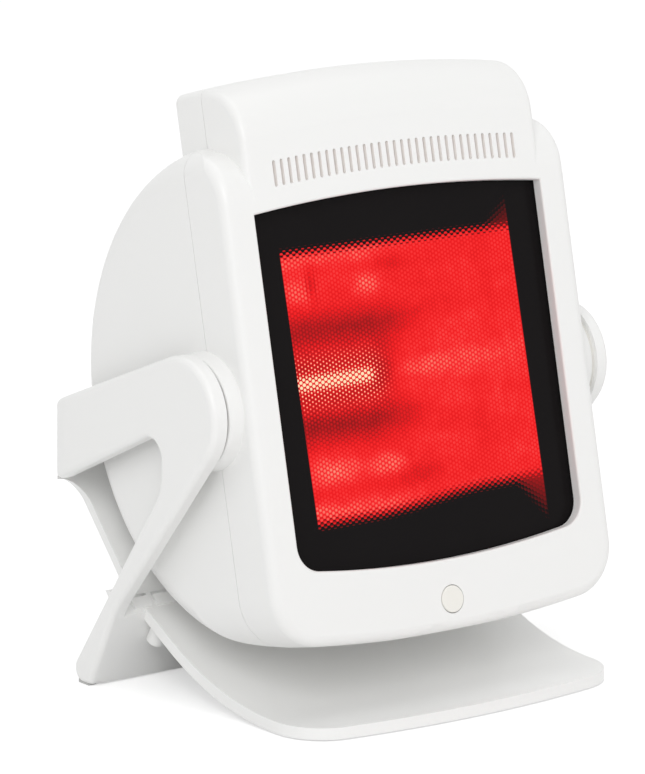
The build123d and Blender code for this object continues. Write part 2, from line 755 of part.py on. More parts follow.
def reflector_end_plates():
    """Polished cheeks that close the trough at both ends."""
    x0 = LIT_HALF_X
    x1 = LIT_HALF_X + END_PLATE
    cheek = along_x(trough_face(REFLECTOR_DEPTH + CHEEK_MARGIN, LIT_HALF_Z + CHEEK_MARGIN), x0, x1)
    cheek -= rod_x(CAP_R + CAP_HOLE_GAP, x0, x1, LAMP_Y, LAMP_Z)
    for y in bracket_rivet_ys():
        cheek -= rod_x(RIVET_R, x0, x1, y, bracket_rivet_z())
    return both_sides(cheek)


def heat_shield():
    """Bent steel sheet between the reflector and the plastic back."""
    y0 = MOUTH_Y + SHEET
    top = LIT_HALF_Z + FLANGE_WIDTH - SHIELD_FLANGE
    lip = LIT_HALF_Z + FLANGE_WIDTH
    outer = [(y0, -lip), (y0, lip), (y0 + SHEET, lip), (y0 + SHEET, top + SHEET)]
    back = SHIELD_BACK + SHEET
    outer += [(back, SHIELD_BACK_HALF + SHEET), (back, -SHIELD_BACK_HALF - SHEET)]
    outer += [(y0 + SHEET, -top - SHEET), (y0 + SHEET, -lip)]
    inner = [(y0 - THROUGH, top), (y0, top), (SHIELD_BACK, SHIELD_BACK_HALF)]
    inner += [(SHIELD_BACK, -SHIELD_BACK_HALF), (y0, -top), (y0 - THROUGH, -top)]
    half = LIT_HALF_X - SHIELD_INSET
    sheet = along_x(polygon(outer), -half, half) - along_x(polygon(inner), -half - THROUGH, half + THROUGH)
    sheet = Pos(0, 0, LIT_Z) * sheet
    for x in SHIELD_VENT_XS:
        for z in SHIELD_VENT_ZS:
            sheet -= Pos(x, SHIELD_BACK, LIT_Z + z) * Box(
                2 * SHIELD_VENT_HALF_X, 4 * SHEET, 2 * SHIELD_VENT_HALF_Z)
    for x, z in rivet_places():
        sheet -= rod_y(RIVET_R, y0, y0 + SHEET, x, z)
    return sheet


def reflector_rivets():
    """Rivets through the retainer, the reflector flange and the shield flange."""
    rivets = []
    back = MOUTH_Y + 2 * SHEET
    for x, z in rivet_places():
        shank = rod_y(RIVET_R, RETAINER_Y, back, x, z)
        rivets.append(shank + rod_y(RIVET_HEAD_R, back, back + RIVET_HEAD, x, z))
    return rivets


# --- lamp ---
def lamp_tube():
    """Quartz tube of the infrared lamp."""
    return rod_x(LAMP_R, -LAMP_HALF, LAMP_HALF, LAMP_Y, LAMP_Z) - rod_x(
        LAMP_R - LAMP_WALL, -LAMP_HALF, LAMP_HALF, LAMP_Y, LAMP_Z)


def lamp_filament():
    """Tungsten coil inside the tube with its two leads, drawn as its outer shape."""
    coil = rod_x(FILAMENT_R, -FILAMENT_HALF, FILAMENT_HALF, LAMP_Y, LAMP_Z)
    for x in FILAMENT_SUPPORT_XS:
        x0 = x - FILAMENT_SUPPORT / 2
        coil += rod_x(LAMP_R - LAMP_WALL - RUNNING_FIT, x0, x0 + FILAMENT_SUPPORT, LAMP_Y, LAMP_Z)
    reach = CAP_OUT - PIN_BITE
    return coil + rod_x(FILAMENT_LEAD_R, -reach, reach, LAMP_Y, LAMP_Z)


def lamp_caps():
    """Ceramic end caps with their contact pins."""
    cap = rod_x(CAP_R, CAP_IN, CAP_OUT, LAMP_Y, LAMP_Z)
    cap -= rod_x(LAMP_R, CAP_IN, LAMP_HALF, LAMP_Y, LAMP_Z)
    cap -= rod_x(FILAMENT_LEAD_R, CAP_IN, CAP_OUT - PIN_BITE, LAMP_Y, LAMP_Z)
    cap += rod_x(PIN_R, CAP_OUT, PIN_OUT, LAMP_Y, LAMP_Z)
    return both_sides(cap)


def holder_foot_z():
    return LAMP_Z - HOLDER_HALF_Z


def bracket_rivet_ys():
    return LAMP_Y - BRACKET_RIVET_Y, LAMP_Y + BRACKET_RIVET_Y


def bracket_rivet_z():
    return holder_foot_z() - BRACKET_RISE + BRACKET_RIVET_RISE


def lamp_holders():
    """Ceramic sockets that take the caps."""
    y0 = LAMP_Y - HOLDER_HALF_Y
    y1 = LAMP_Y + HOLDER_HALF_Y
    body = block(HOLDER_IN, HOLDER_OUT, y0, y1, holder_foot_z(), LAMP_Z + HOLDER_HALF_Z)
    body -= rod_x(CAP_R, HOLDER_IN, CAP_OUT, LAMP_Y, LAMP_Z)
    body -= rod_x(PIN_R, CAP_OUT, PIN_OUT, LAMP_Y, LAMP_Z)
    body -= Pos(HOLDER_SCREW_X, LAMP_Y, holder_foot_z()) * Cylinder(
        SCREW_R, HOLDER_PILOT, align=(Align.CENTER, Align.CENTER, Align.MIN))
    return both_sides(body)


def holder_brackets():
    """Angle brackets that carry the lamp holders on the trough's cheeks."""
    x0 = LIT_HALF_X + END_PLATE
    y0 = LAMP_Y - HOLDER_HALF_Y
    y1 = LAMP_Y + HOLDER_HALF_Y
    z = holder_foot_z()
    shelf = block(x0, HOLDER_OUT, y0, y1, z - BRACKET, z)
    web = block(x0, x0 + BRACKET, y0, y1, z - BRACKET_RISE, z)
    angle = shelf + web
    angle -= Pos(HOLDER_SCREW_X, LAMP_Y, z) * Cylinder(SCREW_R, 4 * BRACKET)
    for y in bracket_rivet_ys():
        angle -= rod_x(RIVET_R, x0, x0 + BRACKET, y, bracket_rivet_z())
    return both_sides(angle)


def holder_screws():
    """Screws up through the brackets into the holders."""
    z = holder_foot_z() - BRACKET
    shank = Pos(HOLDER_SCREW_X, LAMP_Y, z) * Cylinder(
        SCREW_R, HOLDER_SCREW_LENGTH, align=(Align.CENTER, Align.CENTER, Align.MIN))
    head = Pos(HOLDER_SCREW_X, LAMP_Y, z) * Cylinder(
        SCREW_HEAD_R, SCREW_HEAD, align=(Align.CENTER, Align.CENTER, Align.MAX))
    return both_sides(shank + head)


def bracket_rivets():
    """Rivets between the brackets and the cheeks."""
    rivets = []
    x0 = LIT_HALF_X
    x1 = LIT_HALF_X + END_PLATE + BRACKET
    for y in bracket_rivet_ys():
        z = bracket_rivet_z()
        rivet = rod_x(RIVET_R, x0, x1, y, z) + rod_x(RIVET_HEAD_R, x1, x1 + RIVET_HEAD, y, z)
        rivets += both_sides(rivet)
    return rivets


def thermal_cutout():
    """Thermal cut-out on the back of the shield."""
    y0 = SHIELD_BACK + SHEET
    y1 = y0 + CUTOUT_HEIGHT
    body = rod_y(CUTOUT_R, y0, y1, 0, CUTOUT_Z)
    for s in (-1, 1):
        z = CUTOUT_Z + s * CUTOUT_TAB_Z
        body += block(
            -CUTOUT_TAB_HALF_X, CUTOUT_TAB_HALF_X, y1, y1 + CUTOUT_TAB_LENGTH,
            z - CUTOUT_TAB_HALF_Z, z + CUTOUT_TAB_HALF_Z)
    return body


# --- button and switch ---
def button_stack():
    """Depths of the button parts, front to back."""
    switch_front = BOARD_FRONT_Y - SWITCH_DEPTH
    plunger_back = switch_front + PLUNGER_HIDDEN
    plunger_front = plunger_back - PLUNGER_LENGTH
    return switch_front, plunger_front, plunger_back


def button_cap():
    """Round push button with a flange behind the bezel and a stem to the switch."""
    plunger_front = button_stack()[1]
    flange_front = INNER_FACE_Y + SIDE_GAP
    crown = rod_y(BUTTON_HOLE_R - BUTTON_GAP, FACE_Y - BUTTON_PROUD, flange_front, 0, BUTTON_Z)
    crown = fillet(crown.edges().sort_by(Axis.Y)[0], BUTTON_EDGE_R)
    flange = rod_y(BUTTON_FLANGE_R, flange_front, flange_front + BUTTON_FLANGE, 0, BUTTON_Z)
    stem = rod_y(BUTTON_STEM_R, flange_front, plunger_front, 0, BUTTON_Z)
    return crown + flange + stem


def switch_plunger():
    """Plunger of the tact switch, which the button's stem presses."""
    plunger_front, plunger_back = button_stack()[1:]
    return rod_y(PLUNGER_R, plunger_front, plunger_back, 0, BUTTON_Z)


def tact_switch():
    """Body of the tact switch, with the well its plunger slides in."""
    switch_front = button_stack()[0]
    half = SWITCH_SIZE / 2
    body = block(-half, half, switch_front, BOARD_FRONT_Y, BUTTON_Z - half, BUTTON_Z + half)
    well = PLUNGER_HIDDEN + BUTTON_TRAVEL + SIDE_GAP
    return body - rod_y(PLUNGER_R + RUNNING_FIT, switch_front - THROUGH, switch_front + well, 0, BUTTON_Z)


def switch_board():
    """Small board behind the button."""
    half_x = SWITCH_BOARD_WIDTH / 2
    half_z = SWITCH_BOARD_HEIGHT / 2
    y0 = BOARD_FRONT_Y
    y1 = BOARD_FRONT_Y + BOARD
    board = block(-half_x, half_x, y0, y1, BUTTON_Z - half_z, BUTTON_Z + half_z)
    for s in (-1, 1):
        board -= rod_y(SCREW_R, y0, y1, s * SWITCH_BOARD_SCREW_X, BUTTON_Z)
    return board


def switch_board_screws():
    seat = BOARD_FRONT_Y + BOARD
    screws = []
    for s in (-1, 1):
        screws.append(pan_screw_y(s * SWITCH_BOARD_SCREW_X, BUTTON_Z, seat, SWITCH_SCREW_LENGTH, -1))
    return screws


# --- control board ---
def control_board():
    """Main board on four posts above the bottom of the back shell."""
    board = block(CONTROL_X0, CONTROL_X1, CONTROL_Y0, CONTROL_Y1, CONTROL_Z, CONTROL_Z + BOARD)
    for x, y in control_places():
        board -= Pos(x, y, CONTROL_Z + BOARD / 2) * Cylinder(SCREW_R, 2 * BOARD)
    return board


def control_board_screws():
    screws = []
    top = CONTROL_Z + BOARD
    for x, y in control_places():
        shank = Pos(x, y, top) * Cylinder(
            SCREW_R, CONTROL_SCREW_LENGTH, align=(Align.CENTER, Align.CENTER, Align.MAX))
        head = Pos(x, y, top) * Cylinder(
            SCREW_HEAD_R, SCREW_HEAD, align=(Align.CENTER, Align.CENTER, Align.MIN))
        screws.append(shank + head)
    return screws


BOARD_TOP = CONTROL_Z + BOARD


def on_board(plan, height):
    """A block-shaped component standing on the control board."""
    x0, x1, y0, y1 = plan
    return block(x0, x1, y0, y1, BOARD_TOP, BOARD_TOP + height)


def power_module():
    return on_board(POWER_PLAN, POWER_HEIGHT)


def relay():
    return on_board(RELAY_PLAN, RELAY_HEIGHT)


def buzzer():
    """Round buzzer with the sound hole in its top."""
    x, y = BUZZER_PLACE
    can = Pos(x, y, BOARD_TOP) * Cylinder(
        BUZZER_R, BUZZER_HEIGHT, align=(Align.CENTER, Align.CENTER, Align.MIN))
    return can - Pos(x, y, BOARD_TOP + BUZZER_HEIGHT) * Cylinder(BUZZER_HOLE_R, 2 * BUZZER_HOLE_DEPTH)


def terminal_block():
    """Screw terminal that takes the mains and lamp leads."""
    body = on_board(TERMINAL_PLAN, TERMINAL_HEIGHT)
    y = (TERMINAL_PLAN[2] + TERMINAL_PLAN[3]) / 2
    for x in TERMINAL_SCREW_XS:
        body -= Pos(x, y, BOARD_TOP + TERMINAL_HEIGHT) * Cylinder(TERMINAL_SCREW_R, 2 * TERMINAL_SCREW_DEPTH)
    return body


# --- leads ---
def lead(points):
    """Round lead through points, each bend as wide as its two runs allow."""
    stops = [Vector(*p) for p in points]
    radii = []
    for a, b, c in zip(stops, stops[1:], stops[2:]):
        turn = math.radians((b - a).get_angle(c - b))
        radii.append(LEAD_BEND * min((b - a).length, (c - b).length) / math.tan(turn / 2))
    path = FilletPolyline(*points, radius=radii)
    return sweep(Plane(path @ 0, z_dir=path % 0) * Circle(LEAD_R), path=path)


def lamp_leads():
    """Leads from the terminal block round the shield to the two lamp holders."""
    holder_y = LAMP_Y + HOLDER_HALF_Y
    entry_y = TERMINAL_PLAN[3]
    entry_z = BOARD_TOP + TERMINAL_HEIGHT / 2
    low_x, low_y, low_z = LAMP_LEAD_LOW
    leads = []
    for s, entry_x in LAMP_LEAD_ENTRIES:
        x = s * (HOLDER_IN + HOLDER_OUT) / 2
        points = [(x, holder_y, LAMP_Z), (x, holder_y + LAMP_LEAD_RUN, LAMP_Z)]
        points.append((x, holder_y + LAMP_LEAD_BACK, LAMP_Z - LAMP_LEAD_DROP))
        points.append((s * low_x, holder_y + low_y, entry_z + low_z))
        points.append((entry_x, entry_y + LAMP_LEAD_STRAIGHT, entry_z))
        points.append((entry_x, entry_y, entry_z))
        leads.append(lead(points))
    return leads


def switch_lead():
    """Lead from the switch board over the control board's front edge."""
    x = SWITCH_LEAD_X
    back = BOARD_FRONT_Y + BOARD
    z = BUTTON_Z + SWITCH_LEAD_UP
    over = BOARD_TOP + SWITCH_LEAD_OVER
    end_y = CONTROL_Y0 + SWITCH_LEAD_Y
    points = [(x, back, z), (x, back + SWITCH_LEAD_OUT, z), (x, back + SWITCH_LEAD_OUT, over)]
    return lead(points + [(x, end_y, over), (x, end_y, BOARD_TOP)])


# --- cable gland ---
def cable_gland():
    """Grommet-like inlet for the mains cord."""
    low = -GLAND_SEAT_DEPTH
    up = (Align.CENTER, Align.CENTER, Align.MIN)
    collar = Pos(0, 0, low) * Cylinder(GLAND_COLLAR_R, GLAND_COLLAR, align=up)
    collar = fillet(collar.edges().sort_by(Axis.Z)[-1], GLAND_EDGE_R)
    body = Pos(0, 0, low - GLAND_LENGTH) * Cylinder(GLAND_BODY_R, GLAND_LENGTH, align=up)
    bore = Cylinder(GLAND_BORE_R, FAR)
    return gland_frame() * (collar + body - bore)


def gland_nut():
    """Nut that holds the gland from inside."""
    seat = WALL + arc_sag(BARREL_R - WALL, GLAND_NUT_R)
    nut = extrude(RegularPolygon(GLAND_NUT_R, 6), amount=-GLAND_NUT)
    return gland_frame() * (Pos(0, 0, -seat) * (nut - Cylinder(GLAND_BODY_R, FAR)))


# --- tilt hinge ---
ARM_IN = HEAD_HALF + DISC + HINGE_GAP
ARM_OUT = ARM_IN + ARM
PLATE_IN = HEAD_HALF - WALL - PIVOT_PLATE
WASHER_OUT = PLATE_IN - SIDE_GAP
WASHER_IN = WASHER_OUT - RETAINING


def pivot_disc(s):
    """White disc fixed to the head's side; it turns about the arm's spigot."""
    base = Plane((s * HEAD_HALF, 0, 0), z_dir=(s, 0, 0))
    disc = loft([base * Circle(DISC_BASE_R), base.offset(DISC) * Circle(DISC_RIM_R)])
    outer = disc.edges().filter_by(GeomType.CIRCLE).sort_by(Axis.X)[-1 if s > 0 else 0]
    disc = fillet(outer, DISC_EDGE_R)
    disc -= rod_x(SPIGOT_R + RUNNING_FIT, s * HEAD_HALF, s * (HEAD_HALF + DISC))
    for y, z in ring_places(DISC_SCREW_ANGLES, DISC_SCREW_RING):
        disc -= rod_x(SCREW_R, s * HEAD_HALF, s * (HEAD_HALF + DISC_SCREW_BITE), y, z)
    return disc


def pivot_plate(s):
    """Steel plate inside the head that spreads the hinge load over both shells."""
    plate = rod_x(PIVOT_PLATE_R, s * PLATE_IN, s * (HEAD_HALF - WALL))
    plate -= rod_x(SPIGOT_R + 2 * SIDE_GAP, s * PLATE_IN, s * (HEAD_HALF - WALL))
    for y, z in ring_places(DISC_SCREW_ANGLES, DISC_SCREW_RING):
        plate -= rod_x(SCREW_R, s * PLATE_IN, s * (HEAD_HALF - WALL), y, z)
    return plate


def disc_screws():
    """Screws from inside the head into the pivot discs."""
    screws = []
    for y, z in ring_places(DISC_SCREW_ANGLES, DISC_SCREW_RING):
        shank = rod_x(SCREW_R, PLATE_IN, HEAD_HALF + DISC_SCREW_BITE, y, z)
        head = rod_x(SCREW_HEAD_R, PLATE_IN - SCREW_HEAD, PLATE_IN, y, z)
        screws += both_sides(shank + head)
    return screws


def friction_washer(s):
    """Fibre washer between the disc and the arm, seated on the arm."""
    washer = rod_x(FRICTION_R, s * (ARM_IN - HINGE_GAP + SIDE_GAP), s * ARM_IN)
    return washer - rod_x(SPIGOT_R, s * (ARM_IN - HINGE_GAP), s * ARM_IN)


def pivot_insert(s):
    """Threaded brass insert moulded into the arm's spigot."""
    insert = rod_x(INSERT_R, s * WASHER_OUT, s * (ARM_OUT - INSERT_COVER))
    return insert - rod_x(PIVOT_SCREW_R, s * WASHER_OUT, s * (ARM_OUT - INSERT_COVER - INSERT_FLOOR))


def retaining_washer(s):
    """Washer on the spigot's end that keeps the head from coming off."""
    return rod_x(RETAINING_R, s * WASHER_IN, s * WASHER_OUT) - rod_x(
        PIVOT_SCREW_R, s * WASHER_IN, s * WASHER_OUT)


def pivot_screw(s):
    """Screw that clamps the retaining washer to the spigot."""
    head_in = WASHER_IN - PIVOT_SCREW_HEAD
    screw = rod_x(PIVOT_SCREW_R, s * WASHER_IN, s * (ARM_OUT - INSERT_COVER - PIVOT_SCREW_TIP))
    screw += rod_x(PIVOT_SCREW_HEAD_R, s * head_in, s * WASHER_IN)
    socket = along_x(RegularPolygon(PIVOT_SOCKET_R, 6), head_in, head_in + PIVOT_SOCKET)
    if s < 0:
        socket = mirror(socket, about=Plane.YZ)
    return screw - socket


# --- stand, drawn level about the tilt axis ---
def unit(slope):
    """Direction (y, z) that falls to the back at this slope in degrees."""
    return math.cos(math.radians(slope)), -math.sin(math.radians(slope))


def crossing_point(p, d, q, e):
    """Where the line from p along d meets the line from q along e."""
    det = d[0] * -e[1] + d[1] * e[0]
    k = ((q[0] - p[0]) * -e[1] + (q[1] - p[1]) * e[0]) / det
    return p[0] + d[0] * k, p[1] + d[1] * k


def touch_point(point, radius):
    """Where the front tangent from a point touches the circle about the tilt axis."""
    angle = math.atan2(point[1], point[0]) - math.acos(radius / math.hypot(*point))
    return radius * math.cos(angle), radius * math.sin(angle)


def direction(start, end):
    """Unit vector from one point to another."""
    length = math.dist(start, end)
    return (end[0] - start[0]) / length, (end[1] - start[1]) / length


FOOT_Z = GROUND + FOOT_PROUD
CORNER_Y = REAR_REACH - CORNER_R
TOP_DIR = unit(ARM_TOP_SLOPE)
TOP_TOUCH = (-TOP_DIR[1] * ARM_BOSS_R, TOP_DIR[0] * ARM_BOSS_R)
LEG_TURN = (LEG_TURN_Y, GROUND + LEG_TURN_HEIGHT)
LEG_TOUCH = touch_point(LEG_TURN, ARM_BOSS_R)
LEG_LOW_DIR = unit(LEG_LOW_SLOPE)
LEG_TOE = crossing_point(LEG_TURN, LEG_LOW_DIR, (0, FOOT_Z), (1, 0))
HEEL = (FOOT_REAR_Y, GROUND + FOOT_REAR_HEIGHT)
OPENING_TOP = (OPENING_Y, OPENING_TOP_Z)
OPENING_LOW = (OPENING_Y, OPENING_LOW_Z)
ARM_LOW_DIR = unit(ARM_LOW_SLOPE)
ARM_END_TOP = crossing_point(TOP_TOUCH, TOP_DIR, (CORNER_Y, 0), (0, 1))
ARM_END_LOW = crossing_point(OPENING_TOP, ARM_LOW_DIR, (CORNER_Y, 0), (0, 1))
BAND_TURN = crossing_point(OPENING_TOP, ARM_LOW_DIR, (REAR_REACH - BAND_TURN_IN, 0), (0, 1))
BAND_LOW_Z = BAND_TURN[1] - BAND_DIP
CROSSING_Z = GROUND + CROSSING_HEIGHT
SHEET_Z = GROUND + SHEET_HEIGHT
SHEET_BEND = (REAR_REACH - SHEET_WALL, BAND_LOW_Z + SHEET_BEND_UP)
SHEET_DIR = direction(SHEET_BEND, (SHEET_Y, SHEET_Z))
SHEET_OUT = (-SHEET_DIR[1], SHEET_DIR[0])
PANEL_OUT = (-LEG_LOW_DIR[1], LEG_LOW_DIR[0])
JUNCTION = crossing_point((SHEET_Y, SHEET_Z), SHEET_DIR, LEG_TURN, LEG_LOW_DIR)


def arm_outline():
    """Side view of one arm with its leg, as a bent A shape."""
    nose = ThreePointArc(TOP_TOUCH, (-ARM_BOSS_R, 0), LEG_TOUCH)
    heel_low = (HEEL[0], FOOT_Z)
    corners = [LEG_TOUCH, LEG_TURN, LEG_TOE, heel_low, HEEL, OPENING_LOW, OPENING_TOP]
    corners += [ARM_END_LOW, ARM_END_TOP, TOP_TOUCH]
    face = make_face([nose, *Polyline(*corners).edges()])
    face = round_corners(face, [LEG_TURN], LEG_BEND_R)
    face = round_corners(face, [heel_low], FOOT_R)
    face = round_corners(face, [HEEL], FOOT_R)
    face = round_corners(face, [LEG_TOE], ARM_EDGE_R)
    face = round_corners(face, [OPENING_LOW], OPENING_LOW_R)
    return round_corners(face, [OPENING_TOP], OPENING_TOP_R)


def plan_outline(front_y):
    """Plan view of the yoke's outside behind front_y, with its two round rear corners."""
    face = polygon([
        (-ARM_OUT, front_y), (-ARM_OUT, REAR_REACH), (ARM_OUT, REAR_REACH), (ARM_OUT, front_y)])
    return round_corners(face, [(-ARM_OUT, REAR_REACH), (ARM_OUT, REAR_REACH)], CORNER_R)


def off_plan(point):
    """How far inside the yoke's plan outline a point lies."""
    x = abs(point.X)
    core = ARM_OUT - CORNER_R
    core_y = REAR_REACH - CORNER_R
    if x > core and point.Y > core_y:
        return CORNER_R - math.dist((x, point.Y), (core, core_y))
    return min(ARM_OUT - x, REAR_REACH - point.Y)


def outer_edges(hoop):
    """Edges of the arms and band that lie on the yoke's plan outline."""
    edges = []
    for e in hoop.edges():
        start, middle, end = e @ 0, e @ 0.5, e @ 1
        upright = abs(start.X - end.X) < 0.01 and abs(start.Y - end.Y) < 0.01
        if not upright and max(abs(off_plan(p)) for p in (start, middle, end)) < 0.01:
            edges.append(e)
    return edges


def band():
    """Band round the back that joins the two arms."""
    out_y = REAR_REACH + THROUGH
    in_y = REAR_REACH - BAND
    outer = plan_outline(CORNER_Y)
    inner = polygon([(-ARM_IN, CORNER_Y), (-ARM_IN, in_y), (ARM_IN, in_y), (ARM_IN, CORNER_Y)])
    inner = round_corners(inner, [(-ARM_IN, in_y), (ARM_IN, in_y)], CORNER_INNER_R)
    top_end = crossing_point(TOP_TOUCH, TOP_DIR, (out_y, 0), (0, 1))
    view = polygon([ARM_END_TOP, ARM_END_LOW, BAND_TURN, (out_y, BAND_LOW_Z), top_end])
    view = round_corners(view, [BAND_TURN], BAND_LOW_TURN_R)
    return along_z(outer - inner, GROUND, 0) & along_x(view, -ARM_OUT, ARM_OUT)


def arms_and_band():
    """Both arms with their legs and spigots, joined by the band, outer edges softly rounded."""
    arm = along_x(arm_outline(), ARM_IN, ARM_OUT)
    hoop = union([*both_sides(arm), band()])
    hoop = fillet(outer_edges(hoop), ARM_EDGE_R)
    for s in (-1, 1):
        hoop += rod_x(SPIGOT_R, s * WASHER_OUT, s * (ARM_IN + FUSE))
        hoop -= rod_x(INSERT_R, s * WASHER_OUT, s * (ARM_OUT - INSERT_COVER))
    return hoop


def sheet_face():
    """Side view of the back sheet: upright behind the band, then sloping down and forward."""
    out_y = REAR_REACH
    in_y = REAR_REACH - SHEET_WALL
    outer_at = (SHEET_Y + SHEET_OUT[0] * SHEET_WALL, SHEET_Z + SHEET_OUT[1] * SHEET_WALL)
    outer_bend = crossing_point(outer_at, SHEET_DIR, (out_y, 0), (0, 1))
    toe = (JUNCTION[0] + SHEET_OUT[0] * SHEET_WALL, JUNCTION[1] + SHEET_OUT[1] * SHEET_WALL)
    top = BAND_LOW_Z + SHEET_LAP
    face = polygon([(in_y, top), (out_y, top), outer_bend, toe, JUNCTION, SHEET_BEND])
    face = round_corners(face, [outer_bend], SHEET_BEND_R)
    return round_corners(face, [SHEET_BEND], SHEET_BEND_R - SHEET_WALL)


def sheet_view():
    """Rear view of the back sheet: narrow in the middle, flared to the arms and to the legs."""
    top = BAND_LOW_Z + SHEET_LAP
    low = JUNCTION[1] - SHEET_WALL
    right = [(ARM_OUT, top), (ARM_OUT, BAND_LOW_Z), (SHEET_HALF, BAND_LOW_Z), (SHEET_HALF, CROSSING_Z)]
    right += [(ARM_IN, CROSSING_Z), (ARM_IN, low)]
    left = [(-x, z) for x, z in reversed(right)]
    face = polygon(right + left)
    face = round_corners(face, [(s * SHEET_HALF, BAND_LOW_Z) for s in (-1, 1)], SHEET_FLARE_R)
    return round_corners(face, [(s * SHEET_HALF, CROSSING_Z) for s in (-1, 1)], CROSSING_FLARE_R)


def panel():
    """Rear leg panel between the two legs, from the crossing down to the floor."""
    toe = crossing_point(JUNCTION, LEG_LOW_DIR, (0, FOOT_Z), (1, 0))
    back = (JUNCTION[0] + PANEL_OUT[0] * PANEL, JUNCTION[1] + PANEL_OUT[1] * PANEL)
    heel = crossing_point(back, LEG_LOW_DIR, (0, FOOT_Z), (1, 0))
    return along_x(polygon([JUNCTION, toe, heel, back]), -ARM_IN - FUSE, ARM_IN + FUSE)


def slope_frame():
    """Frame on the back sheet's inner face: y up the slope, z out towards the head."""
    return Plane((0, SHEET_Y, SHEET_Z), x_dir=(1, 0, 0), z_dir=(0, -SHEET_OUT[0], -SHEET_OUT[1]))


def on_slope(x0, x1, up0, up1, out0, out1):
    """A box on the sheet: up the slope from up0 to up1, out of it from out0 to out1."""
    return slope_frame().location * block(x0, x1, up0, up1, out0, out1)


def hook_centres():
    return [x + s * HOOK_PITCH / 2 for x in HOOK_PAIRS for s in (-1, 1)]


def hook_slots():
    half = HOOK_SLOT / 2
    depth = 2 * SHEET_WALL
    slots = []
    for x in hook_centres():
        slots.append(on_slope(x - half, x + half, -HOOK_SLOT_DOWN, HOOK_SLOT_UP, -depth, THROUGH))
    return slots


def base_screw_frame():
    """Frame on the base plate's upper face at one base screw, z out of the plate."""
    rise = math.radians(PLATE_RISE)
    arc_end_y = PLATE_FLAT_END + PLATE_ARC_R * math.sin(rise)
    arc_end_z = FOOT_Z + PLATE_ARC_R * (1 - math.cos(rise))
    normal = (0, -math.sin(rise), math.cos(rise))
    y = arc_end_y + normal[1] * PLATE
    z = arc_end_z + normal[2] * PLATE
    z += (BASE_SCREW_Y - y) * math.tan(rise)
    return Plane((0, BASE_SCREW_Y, z), x_dir=(1, 0, 0), z_dir=normal).location


def base_screw_reach():
    """Depth of the base screws' tips below the plate's upper face."""
    return BASE_CAP + BASE_SCREW_HEAD + BASE_SCREW_LENGTH


def base_bosses():
    """Screw posts on the leg panel under the base plate."""
    posts = []
    for s in (-1, 1):
        post = Pos(s * BASE_SCREW_X, 0, -PLATE) * Cylinder(
            BASE_BOSS_R, BASE_BOSS, align=(Align.CENTER, Align.CENTER, Align.MAX))
        web = Pos(s * BASE_SCREW_X, BASE_WEB_Y, -PLATE - BASE_WEB_DROP) * Box(*BASE_WEB)
        posts.append(base_screw_frame() * (post + web))
    toe = crossing_point(JUNCTION, LEG_LOW_DIR, (0, FOOT_Z), (1, 0))
    keep = along_x(polygon([(0, FOOT_Z), (0, 0), JUNCTION, toe]), -ARM_IN, ARM_IN)
    return [post & keep for post in posts]


def stand_yoke():
    """Arms, legs, rear band, back sheet and leg panel in one moulding."""
    sheet = along_x(sheet_face(), -ARM_OUT, ARM_OUT) & along_y(sheet_view(), 0, REAR_REACH + THROUGH)
    sheet &= along_z(plan_outline(0), GROUND, 0)
    yoke = union([arms_and_band(), sheet, panel(), *base_bosses()])
    cuts = hook_slots()
    for s in (-1, 1):
        pilot = Pos(s * BASE_SCREW_X, 0, 0) * Cylinder(
            BASE_SCREW_R, base_screw_reach(), align=(Align.CENTER, Align.CENTER, Align.MAX))
        cuts.append(base_screw_frame() * pilot)
        cuts.append(rear_pad_seat(s))
    return yoke - cuts


def rear_pad_place():
    return (ARM_IN + ARM_OUT) / 2, (LEG_TOE[0] + HEEL[0]) / 2


def rear_pad_seat(s):
    x, y = rear_pad_place()
    return Pos(s * x, y, GROUND) * Box(
        REAR_PAD_X, REAR_PAD_Y, FOOT_PAD, align=(Align.CENTER, Align.CENTER, Align.MIN))


def rear_feet():
    """Rubber pads under the two legs."""
    return [rear_pad_seat(s) for s in (-1, 1)]


def front_pad(s):
    return Pos(s * FRONT_PAD_X, FRONT_PAD_Y, GROUND) * Cylinder(
        FRONT_PAD_R, FOOT_PAD, align=(Align.CENTER, Align.CENTER, Align.MIN))


def front_feet():
    """Rubber discs under the front of the base plate."""
    return [front_pad(s) for s in (-1, 1)]


def plate_profile():
    """Side view of the base plate: flat in front, then curving up to the crossing."""
    rise = math.radians(PLATE_RISE)
    flat = PLATE_FLAT_END
    end_y = flat + PLATE_ARC_R * math.sin(rise)
    end_z = FOOT_Z + PLATE_ARC_R * (1 - math.cos(rise))
    mid = rise / 2
    mid_y = flat + PLATE_ARC_R * math.sin(mid)
    mid_z = FOOT_Z + PLATE_ARC_R * (1 - math.cos(mid))
    direction = (math.cos(rise), math.sin(rise))
    top_end = (end_y - PLATE * math.sin(rise), end_z + PLATE * math.cos(rise))
    top_mid = (mid_y - PLATE * math.sin(mid), mid_z + PLATE * math.cos(mid))
    top_back = crossing_point(top_end, direction, JUNCTION, SHEET_DIR)
    low_back = crossing_point((end_y, end_z), direction, JUNCTION, LEG_LOW_DIR)
    nose = -FRONT_REACH
    edges = [Line((nose, FOOT_Z), (flat, FOOT_Z))]
    edges.append(ThreePointArc((flat, FOOT_Z), (mid_y, mid_z), (end_y, end_z)))
    edges.append(Line((end_y, end_z), low_back))
    edges.append(Line(low_back, JUNCTION))
    edges.append(Line(JUNCTION, top_back))
    edges.append(Line(top_back, top_end))
    edges.append(ThreePointArc(top_end, top_mid, (flat, FOOT_Z + PLATE)))
    edges.append(Line((flat, FOOT_Z + PLATE), (nose, FOOT_Z + PLATE)))
    edges.append(Line((nose, FOOT_Z + PLATE), (nose, FOOT_Z)))
    return make_face(edges)


